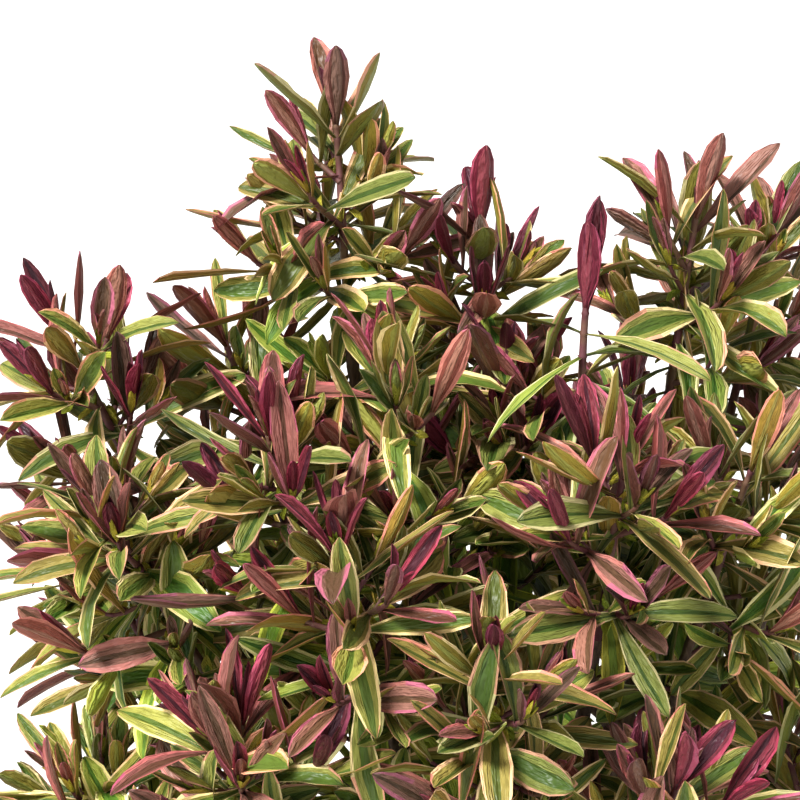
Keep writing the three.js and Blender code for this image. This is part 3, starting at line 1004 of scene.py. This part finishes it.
def put_out(group, geometry):
    out = group.nodes.new("NodeGroupOutput")
    group.links.new(geometry.socket, out.inputs[0])


def plain_mesh(name, base, group, values):
    """Runs a geometry tree on a mesh, and gives an object with the result as its plain mesh."""
    source = bpy.data.objects.new(name + "_source", base)
    bpy.context.scene.collection.objects.link(source)
    modifier = source.modifiers.new("grow", "NODES")
    modifier.node_group = group
    for item in group.interface.items_tree:
        if item.in_out == "INPUT" and item.name in values:
            modifier[item.identifier] = values[item.name]
    evaluated = source.evaluated_get(bpy.context.evaluated_depsgraph_get())
    mesh = bpy.data.meshes.new_from_object(evaluated)
    mesh.name = name
    bpy.data.objects.remove(source)
    piece = bpy.data.objects.new(name, mesh)
    bpy.context.scene.collection.objects.link(piece)
    return piece


def point_attribute(mesh, name, values):
    values = np.asarray(values, np.float32)
    kind, field = ("FLOAT_VECTOR", "vector") if values.ndim == 2 else ("FLOAT", "value")
    mesh.attributes.new(name, kind, "POINT").data.foreach_set(field, values.ravel())


# Bark and twigs

# Rings along the trunk, closer near the ground, and how its top narrows into the fork
TRUNK_RINGS = {"count": 42, "curve": 1.4, "top": (0.97, 0.9, 0.72)}

# Rings along a bough, its collar at the root, and the knots along it
BOUGH_RINGS = {"least": 12, "apart": 2.4}
COLLAR = {"swell": 0.45, "length": 6}
KNOTS = {"swell": 0.06, "closeness": 0.55, "shift": 1.7}

# Rings along a twig, and the swollen ones at its pairs of leaves
TWIG_RINGS = {"count": 8, "pairs": 40, "reach": 0.9, "nearest": 1.5, "steps": (-0.7, 0, 0.7)}
TWIG_NODE = {"swell": 0.2, "length": 0.1}
TWIG_SIDES = 7

# Relief: ribs round the root flare, and fissures that run along the grain
BARK_GRAIN = 90.0
TWIG_GRAIN = 300.0
RIBS = {"count": 5, "middle": 0.85, "depth": 0.15}
FISSURES = {"across": 1.4, "limb": 7.3, "scale": 1.6, "detail": 3.0, "sharpness": 2.2, "level": 0.4}

BARK_LOOK = {
    "broad": 45.0, "fibres": 700.0, "stretch": (1.0, 1.0, 0.3), "fibre_weight": 1.5, "broad_weight": 0.9,
    "threshold": 0.75, "smoothest": 0.78, "rougher": 0.2, "relief": (0.6, 0.0006),
}
TWIG_LOOK = {
    "patches": 90.0, "specks": 900.0, "contrast": 3, "threshold": 1.35, "green": 0.7, "smoothest": 0.5,
    "rougher": 0.3, "relief": (0.35, 0.0003),
}


def rails_mesh(name, rails):
    """Lines of edges along limbs or twigs. A rail is its points, with girth, flare and distance at each."""
    points = np.concatenate([rail["points"] for rail in rails]) * MM
    edges, first = [], 0
    for rail in rails:
        count = len(rail["points"])
        edges += [(first + i, first + i + 1) for i in range(count - 1)]
        first += count
    mesh = bpy.data.meshes.new(name)
    mesh.from_pydata(points.tolist(), edges, [])
    for field in ("girth", "flare", "distance", "limb"):
        point_attribute(mesh, field, np.concatenate([rail[field] for rail in rails]))
    return mesh


def rail(path_points, girth, flare, distance, number):
    count = len(path_points)
    return {
        "points": np.asarray(path_points),
        "girth": np.asarray(girth) * MM,
        "flare": np.broadcast_to(np.asarray(flare) * MM, count),
        "distance": np.asarray(distance) * MM,
        "limb": np.full(count, number),
    }


def trunk_rail():
    shares = np.linspace(0, 1, TRUNK_RINGS["count"]) ** TRUNK_RINGS["curve"]
    girth = lerp(TRUNK["foot"], TRUNK["top"], shares)
    girth[-3:] *= TRUNK_RINGS["top"]
    flare = TRUNK["flare_width"] * np.exp(-TRUNK["height"] * shares / TRUNK["flare_height"])
    return rail([trunk_centre(s) for s in shares], girth, flare, TRUNK["height"] * shares, 0)


def bough_rail(crown, mass, number):
    path = Path(crown.limbs[mass.name])
    count = max(BOUGH_RINGS["least"], round(path.length / BOUGH_RINGS["apart"]))
    distance = np.linspace(0, path.length, count)
    root, tip = crown.size(mass)
    collar = 1 + COLLAR["swell"] * np.exp(-distance / COLLAR["length"])
    knots = 1 + KNOTS["swell"] * np.sin(distance * KNOTS["closeness"] + number * KNOTS["shift"])
    girth = lerp(root, tip, distance / path.length) * collar * knots
    return rail(path.at(distance)[0], girth, 0, distance, number)


def twig_rail(shoot, number):
    """A twig with a swollen ring at each pair of leaves."""
    length = shoot.path.length
    backs = [leaf_age(pair)[0] for pair in range(TWIG_RINGS["pairs"])]
    backs = [back for back in backs if TWIG_RINGS["nearest"] < back < length * TWIG_RINGS["reach"]]
    nodes = [length - back for back in backs]
    rings = {node + step for node in nodes for step in TWIG_RINGS["steps"]}
    rings = {0.0, length, *np.linspace(0, length, TWIG_RINGS["count"]), *rings}
    distance = np.array(sorted(rings))
    distance = distance[(distance >= 0) & (distance <= length)]
    girth = lerp(shoot.girth[0], shoot.girth[1], distance / length)
    for node in nodes:
        girth *= 1 + TWIG_NODE["swell"] * (np.abs(distance - node) < TWIG_NODE["length"])
    return rail(shoot.path.at(distance)[0], girth, 0, distance, number)


def limb_tree(name):
    """Sweeps a circle along each rail, then raises the relief of the bark and the ribs of the root flare."""
    group, tree, given = geometry_tree(name, {
        "Sides": "NodeSocketInt", "Relief": "NodeSocketFloat", "Grain": "NodeSocketFloat",
        "Material": "NodeSocketMaterial",
    })
    circle = tree.add(
        "GeometryNodeCurvePrimitiveCircle", {}, {"Resolution": given["Sides"], "Radius": 1.0})
    place = tree.add("GeometryNodeInputPosition")
    circle = tree.add(
        "GeometryNodeStoreNamedAttribute", {"data_type": "FLOAT_VECTOR", "domain": "POINT"},
        {"Geometry": circle, "Name": "turn", "Value": place})
    line = tree.add("GeometryNodeMeshToCurve", {}, {0: given["Geometry"]})
    tube = tree.add(
        "GeometryNodeCurveToMesh", {},
        {"Curve": line, "Profile Curve": circle, "Scale": tree.attribute("girth"), "Fill Caps": True})
    turn = tree.attribute("turn", "FLOAT_VECTOR")
    distance = tree.attribute("distance")
    limb = tree.attribute("limb")
    normal = tree.add("GeometryNodeInputNormal")
    x, y, _ = tree.split(normal)
    ribs = RIBS["middle"] - (y.math("ARCTAN2", x) * RIBS["count"]).cos() * RIBS["depth"]
    along = tree.vector(limb * FISSURES["limb"], 0.0, distance * given["Grain"])
    grain = turn * FISSURES["across"] + along
    cracks = tree.noise(grain, scale=FISSURES["scale"], detail=FISSURES["detail"])
    fissures = 1 - (cracks * 2 - 1).size() * FISSURES["sharpness"]
    swell = tree.attribute("flare") * ribs + (fissures - FISSURES["level"]) * given["Relief"]
    moved = tree.add("GeometryNodeSetPosition", {}, {"Geometry": tube, "Offset": normal * swell})
    x, y, z = tree.split(tree.add("GeometryNodeInputPosition"))
    above = tree.vector(x, y, z.math("MAXIMUM", 0.0))
    moved = tree.add("GeometryNodeSetPosition", {}, {"Geometry": moved, "Position": above})
    smooth = tree.add("GeometryNodeSetShadeSmooth", {}, {"Geometry": moved})
    real = tree.add("GeometryNodeRealizeInstances", {}, {"Geometry": smooth})
    finished = tree.add(
        "GeometryNodeSetMaterial", {}, {"Geometry": real, "Material": given["Material"]})
    put_out(group, finished)
    return group


def rgba(colour):
    return (*colour, 1.0)


def bark_material(settings):
    material, tree = material_tree("bark")
    place = tree.add("ShaderNodeTexCoord", {}, {}, output=3)
    along = tree.stretched(place, BARK_LOOK["stretch"])
    broad = tree.noise(place, scale=BARK_LOOK["broad"], detail=3.0)
    fibres = tree.noise(along, scale=BARK_LOOK["fibres"], detail=4.0, roughness=0.6)
    mask = fibres * BARK_LOOK["fibre_weight"] + broad * BARK_LOOK["broad_weight"] - BARK_LOOK["threshold"]
    return finish_material(material, tree, {
        "Base Color": tree.blend(mask.clamped(), rgba(settings.fissure), rgba(settings.ridge)),
        "Roughness": BARK_LOOK["smoothest"] + fibres * BARK_LOOK["rougher"],
        "Normal": bump(tree, fibres, *BARK_LOOK["relief"]),
    })


def twig_material(settings):
    material, tree = material_tree("young_bark")
    place = tree.add("ShaderNodeTexCoord", {}, {}, output=3)
    patches = tree.noise(place, scale=TWIG_LOOK["patches"], detail=2.0)
    specks = tree.noise(place, scale=TWIG_LOOK["specks"], detail=3.0)
    mask = (patches * TWIG_LOOK["contrast"] - TWIG_LOOK["threshold"]).clamped() * TWIG_LOOK["green"]
    return finish_material(material, tree, {
        "Base Color": tree.blend(mask, rgba(settings.twig), rgba(settings.twig_green)),
        "Roughness": TWIG_LOOK["smoothest"] + specks * TWIG_LOOK["rougher"],
        "Normal": bump(tree, specks, *TWIG_LOOK["relief"]),
    })


# Leaves

LEAF_STATIONS = (0.0, 0.14, 0.36, 0.6, 0.81, 0.94, 1.0)
LEAF_OUTLINE = (0.2, 0.32, 0.77, 1.0, 0.85, 0.48, 0.08)
BUD_STATIONS = (0.0, 0.3, 0.6, 0.85, 1.0)
BUD_OUTLINE = (0.3, 0.9, 1.0, 0.6, 0.06)

# Lines along a blade, round its upper side and back under it: side, place, and the part that the strip
# after the line belongs to
LEAF_RING = (
    (-1, "rim", "margin"), (-1, "edge", "blade"), (-1, "vein", "streak"), (0, "rib", "streak"),
    (1, "vein", "blade"), (1, "edge", "margin"), (1, "rim", "margin"), (1, "hem", "under"),
    (1, "nerve", "blade"), (0, "keel", "blade"), (-1, "nerve", "under"), (-1, "hem", "margin"),
)
BUD_RING = ((-1, "rim", "blade"), (0, "rib", "blade"), (1, "rim", "under"), (0, "keel", "under"))
DEPTHS = {"keel": 1.0, "nerve": 0.85, "hem": 0.45}

# The map of a blade: how far out each line lies, the middles of its upper side and underside, its caps
MAP_PLACES = {"rim": 1.0, "edge": 0.8, "hem": 0.8, "vein": 0.2, "nerve": 0.2, "rib": 0.0, "keel": 0.0}
MAP_WIDTH = 0.24
MAP_MIDDLES = (0.25, 0.75)
MAP_CAP = 0.008

# Noise along the margin and along the streak, waves of the rims, and the keel's depth at the foot and more
MARGIN_NOISE = {"along": 7, "across": 5, "shift": 0, "width": 1.0}
STREAK_NOISE = {"along": 9, "across": 5, "shift": 50, "width": 2.2}
WAVES = 11
KEEL = (0.3, 0.7)
RAGGEDNESS = 0.24
WAVE_HEIGHT = 0.1
LOT_SEEDS = 97

LEAF_LOOK = {
    "veins": (3.0, 13.0, 1.0), "pores": (9.0, 40.0, 1.0), "upper": 0.32, "under": 0.42, "rougher": 0.28,
    "specular": 0.3, "vein_weight": 0.7, "pore_weight": 0.3, "relief": (0.9, 0.0042),
}
KEPT_ATTRIBUTES = {
    "sharp_edge", "OFBake", "position", ".corner_vert", ".corner_edge", ".edge_verts", "material_index",
}


def blade_mesh(name, stations, outline, ring):
    """A closed thin blade, with attributes for the place of each vertex and the part of each face."""
    count = len(ring)
    turn = ring.index(next(row for row in ring if row[:2] == (1, "rim")))
    rows = {field: [] for field in ("along", "outline", "side", "to_rim", "to_edge", "to_vein", "keel")}
    places, faces, parts, maps = [], [], [], []
    for t, half in zip(stations, outline):
        for side, role, _ in ring:
            places.append((t, side * MAP_PLACES[role], 0))
            rows["along"].append(t)
            rows["outline"].append(half)
            rows["side"].append(side)
            rows["to_rim"].append(role == "rim")
            rows["to_edge"].append(role in ("edge", "hem"))
            rows["to_vein"].append(role in ("vein", "nerve"))
            rows["keel"].append(DEPTHS.get(role, 0))

    def on_map(station, column, centre):
        side, role, _ = ring[column % count]
        return stations[station], centre + MAP_WIDTH * side * MAP_PLACES[role]

    for s in range(len(stations) - 1):
        for c, (_, _, part) in enumerate(ring):
            after = (c + 1) % count
            corners = ((s, after), (s, c), (s + 1, c), (s + 1, after))
            faces.append([station * count + column for station, column in corners])
            parts.append(PARTS.index(part))
            maps.append([on_map(*corner, MAP_MIDDLES[0 if c < turn else 1]) for corner in corners])
    last = (len(stations) - 1) * count
    turns = [2 * math.pi * i / count for i in range(count)]
    for loop, centre in zip((range(count), range(last + count - 1, last - 1, -1)), MAP_MIDDLES):
        faces.append(list(loop))
        parts.append(PARTS.index("under"))
        maps.append([(centre + MAP_CAP * math.cos(a), 0.5 + MAP_CAP * math.sin(a)) for a in turns])
    mesh = bpy.data.meshes.new(name)
    mesh.from_pydata(places, [], faces)
    for field, values in rows.items():
        point_attribute(mesh, field, values)
    mesh.attributes.new("part", "FLOAT", "FACE").data.foreach_set("value", np.array(parts, np.float32))
    places = np.array([place for face in maps for place in face], np.float32)
    mesh.uv_layers.new(name="OFBake").data.foreach_set("uv", places.ravel())
    rims = {column for column, row in enumerate(ring) if row[1] == "rim"}
    ends = [edge.vertices for edge in mesh.edges]
    sharp = [abs(a - b) == count and a % count in rims for a, b in ends]
    mesh.attributes.new("sharp_edge", "BOOLEAN", "EDGE").data.foreach_set("value", sharp)
    return mesh


def leaf_tree(name, finishes):
    """Puts a blade on each point, shapes it by the point's sizes, and gives each part its finish."""
    group, tree, given = geometry_tree(name, {
        "Blade": "NodeSocketObject", "Thickness": "NodeSocketFloat", "Raggedness": "NodeSocketFloat",
        "Wave": "NodeSocketFloat", "Seed": "NodeSocketFloat",
    })
    blade = tree.add("GeometryNodeObjectInfo", {}, {"Object": given["Blade"]}, output=4)
    leaves = tree.add(
        "GeometryNodeInstanceOnPoints", {}, {"Points": given["Geometry"], "Instance": blade})
    leaves = tree.add("GeometryNodeRealizeInstances", {}, {"Geometry": leaves})

    along, outline, side = (tree.attribute(n) for n in ("along", "outline", "side"))
    size, breadth, arch, fold = (tree.attribute(n) for n in ("size", "breadth", "arch", "fold"))
    root, way, face = (tree.attribute(n, "FLOAT_VECTOR") for n in ("root", "way", "face"))
    lot = tree.attribute("lot") + given["Seed"]

    def ragged(noise):
        """Noise about zero, which changes along the blade and from side to side."""
        place = tree.vector(along * noise["along"], lot + noise["shift"], side * noise["across"])
        return (tree.noise(place) - 0.5) * given["Raggedness"] * noise["width"]

    to_edge = tree.attribute("to_edge") * (tree.attribute("edge") + ragged(MARGIN_NOISE))
    to_vein = tree.attribute("to_vein") * (tree.attribute("vein") + ragged(STREAK_NOISE))
    across = side * (tree.attribute("to_rim") + to_edge + to_vein)
    half = outline * breadth * 0.5

    angle = arch * along
    run = size * angle.sin() / arch
    drop = size * ((1 - angle.cos()) / arch + tree.attribute("curl") * along ** 3)
    up = face * angle.cos() + way * angle.sin()
    left = face.cross(way)
    twist = tree.attribute("twist") * along
    left, up = left * twist.cos() + up * twist.sin(), up * twist.cos() - left * twist.sin()
    wave = (along * WAVES + lot).sin() * given["Wave"] * side
    keel = tree.attribute("keel") * (KEEL[0] + outline * KEEL[1]) * given["Thickness"]
    lift = across.size() * half * (fold + wave) - keel
    place = root + way * run - face * drop + left * (across * half) + up * lift

    leaves = tree.add("GeometryNodeSetPosition", {}, {"Geometry": leaves, "Position": place})
    leaves = tree.add("GeometryNodeSetShadeSmooth", {}, {"Geometry": leaves})
    part, tint = tree.attribute("part"), tree.attribute("tint")
    part = part + (along > 1 - tree.attribute("flush")) * part.equals(PARTS.index("margin"))
    for (number, shade), finish in finishes.items():
        chosen = part.equals(number) * tint.equals(shade)
        inputs = {"Geometry": leaves, "Selection": chosen, "Material": finish}
        leaves = tree.add("GeometryNodeSetMaterial", {}, inputs)
    put_out(group, leaves)
    return group


def leaf_finish(name, colour, smoothest):
    """The finish of one part of a leaf: one plain colour, with fine veins in its relief and its gloss."""
    material, tree = material_tree(name)
    place = tree.add("ShaderNodeUVMap", {"uv_map": "OFBake"})
    veins = tree.noise(tree.stretched(place, LEAF_LOOK["veins"]), detail=2.0)
    pores = tree.noise(tree.stretched(place, LEAF_LOOK["pores"]), detail=1.0)
    height = veins * LEAF_LOOK["vein_weight"] + pores * LEAF_LOOK["pore_weight"]
    return finish_material(material, tree, {
        "Base Color": rgba(colour),
        "Roughness": smoothest + veins * LEAF_LOOK["rougher"],
        "Specular IOR Level": LEAF_LOOK["specular"],
        "Normal": bump(tree, height, *LEAF_LOOK["relief"]),
    })


def leaf_finishes(kind, colours):
    """The finishes of a kind of leaf, by the number of the part and of the tint."""
    finishes = {}
    for number, part in enumerate(PARTS):
        colour = np.array(getattr(colours, f"{kind}_{part}"))
        smoothest = LEAF_LOOK["under" if part == "under" else "upper"]
        for shade, tint in enumerate(TINTS):
            tinted = np.clip(colour * tint, 0, 1).tolist()
            finishes[number, shade] = leaf_finish(f"{kind}_{part}_{shade}", tinted, smoothest)
    return finishes


def leaf_points(name, leaves):
    mesh = bpy.data.meshes.new(name)
    mesh.from_pydata([(0, 0, 0)] * len(leaves), [], [])
    for field in LEAF_FIELDS:
        values = np.array([leaf[field] for leaf in leaves], float)
        if field in ("root", "size", "breadth"):
            values = values * MM
        point_attribute(mesh, field, values)
    return mesh


def leaf_piece(name, kind, leaves, scene, blade):
    """One piece of leaves of a kind, as a plain mesh without the attributes that shaped it."""
    group = leaf_tree(name, leaf_finishes(kind, scene.hebe_leaf_colours))
    piece = plain_mesh(name, leaf_points(name, leaves), group, {
        "Blade": blade, "Thickness": scene.hebe_growth.leaf_thickness, "Raggedness": RAGGEDNESS,
        "Wave": WAVE_HEIGHT, "Seed": float(scene.hebe_growth.seed % LOT_SEEDS),
    })
    attributes = piece.data.attributes
    spent = [a.name for a in attributes if a.name not in KEPT_ATTRIBUTES and not a.is_required]
    for attribute in spent:
        attributes.remove(attributes[attribute])
    return piece


# Stage

FLOOR_CORNERS = 96
FLOOR_ROUGHNESS = {"least": 0.8, "more": 0.1, "scale": 3.0}
HORIZON_SHARE = 3
KEY_TURN = (28, -30)
CLIP_END = 100


class HEBE_OT_stage(bpy.types.Operator):
    """Lays the floor, and sets the light and the camera"""

    bl_idname = "hebe.stage"
    bl_label = "Stage"

    def execute(self, context):
        settings = context.scene.hebe_stage
        size = settings.floor_size
        turns = np.linspace(0, 2 * math.pi, FLOOR_CORNERS, endpoint=False)
        rim = [(size * math.cos(a), size * math.sin(a), 0) for a in turns]
        mesh = bpy.data.meshes.new("floor")
        mesh.from_pydata(rim, [], [range(len(rim))])
        floor = bpy.data.objects.new("floor", mesh)
        context.scene.collection.objects.link(floor)
        material, tree = material_tree("floor")
        place = tree.add("ShaderNodeTexCoord", {}, {}, output=3)
        grain = tree.noise(place, scale=FLOOR_ROUGHNESS["scale"])
        mesh.materials.append(finish_material(material, tree, {
            "Base Color": rgba(settings.floor),
            "Roughness": FLOOR_ROUGHNESS["least"] + grain * FLOOR_ROUGHNESS["more"],
        }))

        world = bpy.data.worlds.new("dome")
        context.scene.world = world
        world.use_nodes = True
        tree = Tree(world.node_tree)
        height = tree.split(tree.add("ShaderNodeTexCoord"))[2]
        share = (height * HORIZON_SHARE).clamped()
        strength = share * (settings.overhead - settings.dome) + settings.dome
        background = world.node_tree.nodes["Background"]
        background.inputs["Color"].default_value = (1, 1, 1, 1)
        world.node_tree.links.new(strength.socket, background.inputs["Strength"])
        key = bpy.data.lights.new("key", "SUN")
        key.energy = settings.key
        key.angle = settings.softness
        lamp = bpy.data.objects.new("key", key)
        lamp.rotation_euler = (*(math.radians(angle) for angle in KEY_TURN), 0)
        context.scene.collection.objects.link(lamp)

        target = Vector(settings.target)
        back = Vector((0, -math.cos(settings.elevation), math.sin(settings.elevation)))
        camera = bpy.data.cameras.new("camera")
        camera.angle = 2 * math.atan(settings.view_width / 2 / settings.distance)
        camera.clip_end = CLIP_END
        eye = bpy.data.objects.new("camera", camera)
        eye.location = target + back * settings.distance
        eye.rotation_euler = back.to_track_quat("Z", "Y").to_euler()
        context.scene.collection.objects.link(eye)
        context.scene.camera = eye
        context.scene.view_settings.view_transform = "Standard"
        return {"FINISHED"}


class HEBE_OT_bark(bpy.types.Operator):
    """Grows the bark of the trunk and the boughs, with its relief"""

    bl_idname = "hebe.bark"
    bl_label = "Bark"

    def execute(self, context):
        settings = context.scene.hebe_bark
        crown = grown(context.scene)[0]
        boughs = [bough_rail(crown, mass, i + 1) for i, mass in enumerate(crown.masses)]
        rails = [trunk_rail(), *boughs]
        piece = plain_mesh("bark", rails_mesh("bark_rails", rails), limb_tree("bark"), {
            "Sides": settings.sides, "Relief": settings.relief, "Grain": BARK_GRAIN,
            "Material": bark_material(settings),
        })
        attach(piece, "root")
        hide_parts("trunk", *(f"bough_{mass.name}" for mass in crown.masses))
        return {"FINISHED"}


class HEBE_OT_twigs(bpy.types.Operator):
    """Grows the stems of the masses and their side shoots"""

    bl_idname = "hebe.twigs"
    bl_label = "Twigs"

    def execute(self, context):
        settings = context.scene.hebe_bark
        crown, shoots, _ = grown(context.scene)
        rails = [twig_rail(shoot, number) for number, shoot in enumerate(shoots)]
        piece = plain_mesh("twigs", rails_mesh("twig_rails", rails), limb_tree("twigs"), {
            "Sides": TWIG_SIDES, "Relief": settings.twig_relief, "Grain": TWIG_GRAIN,
            "Material": twig_material(settings),
        })
        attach(piece, "root")
        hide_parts(*(f"foliage_{mass.name}" for mass in crown.masses))
        return {"FINISHED"}


class HEBE_OT_leaves(bpy.types.Operator):
    """Grows the leaves in sprays, each kind as a piece of its own, and the buds"""

    bl_idname = "hebe.leaves"
    bl_label = "Leaves"

    def execute(self, context):
        crown, _, leaves = grown(context.scene)
        full = blade_mesh("full_blade", LEAF_STATIONS, LEAF_OUTLINE, LEAF_RING)
        small = blade_mesh("small_blade", BUD_STATIONS, BUD_OUTLINE, BUD_RING)
        full, small = (bpy.data.objects.new(mesh.name, mesh) for mesh in (full, small))
        for kind, grown_leaves in leaves.items():
            blade = small if kind == "bud" else full
            faces = sum(len(face.vertices) - 2 for face in blade.data.polygons)
            count = math.ceil(len(grown_leaves) * faces / MOST_TRIANGLES)
            for number in range(count):
                name = f"{kind}_leaves" + (f"_{number + 1}" if count > 1 else "")
                share = grown_leaves[number::count]
                piece = leaf_piece(name, kind, share, context.scene, blade)
                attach(piece, "root")
                "leaf_buds" if kind == "bud" else f"{kind}_leaves"
                nodes = [f"foliage_{mass.name}" for mass in crown.masses if mass.look == kind]
                if nodes:
                    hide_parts(*nodes)
        for blade in (full, small):
            bpy.data.objects.remove(blade)
        return {"FINISHED"}


class HEBE_PT_shrub(bpy.types.Panel):
    """Shows a button for each operator that grows the shrub, and all of its settings"""

    bl_label = "Hebe Shrub"
    bl_idname = "HEBE_PT_shrub"
    bl_space_type = "VIEW_3D"
    bl_region_type = "UI"
    bl_category = "Hebe"

    def draw(self, context):
        for operator in OPERATORS:
            self.layout.operator(operator.bl_idname)
        for name in SETTINGS:
            box = self.layout.box()
            group = getattr(context.scene, name)
            for field in group.bl_rna.properties.keys():
                if field not in ("rna_type", "name"):
                    box.prop(group, field)


OPERATORS = (HEBE_OT_stage, HEBE_OT_bark, HEBE_OT_twigs, HEBE_OT_leaves)
CLASSES = (*SETTINGS.values(), *OPERATORS, HEBE_PT_shrub)


def register():
    for item in CLASSES:
        bpy.utils.register_class(item)
    for name, group in SETTINGS.items():
        setattr(bpy.types.Scene, name, PointerProperty(type=group))


def unregister():
    for name in SETTINGS:
        delattr(bpy.types.Scene, name)
    for item in reversed(CLASSES):
        bpy.utils.unregister_class(item)


def main():
    register()
    bpy.ops.hebe.stage()
    bpy.ops.hebe.bark()
    bpy.ops.hebe.twigs()
    bpy.ops.hebe.leaves()
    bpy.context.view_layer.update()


if __name__ == "__main__":
    main()
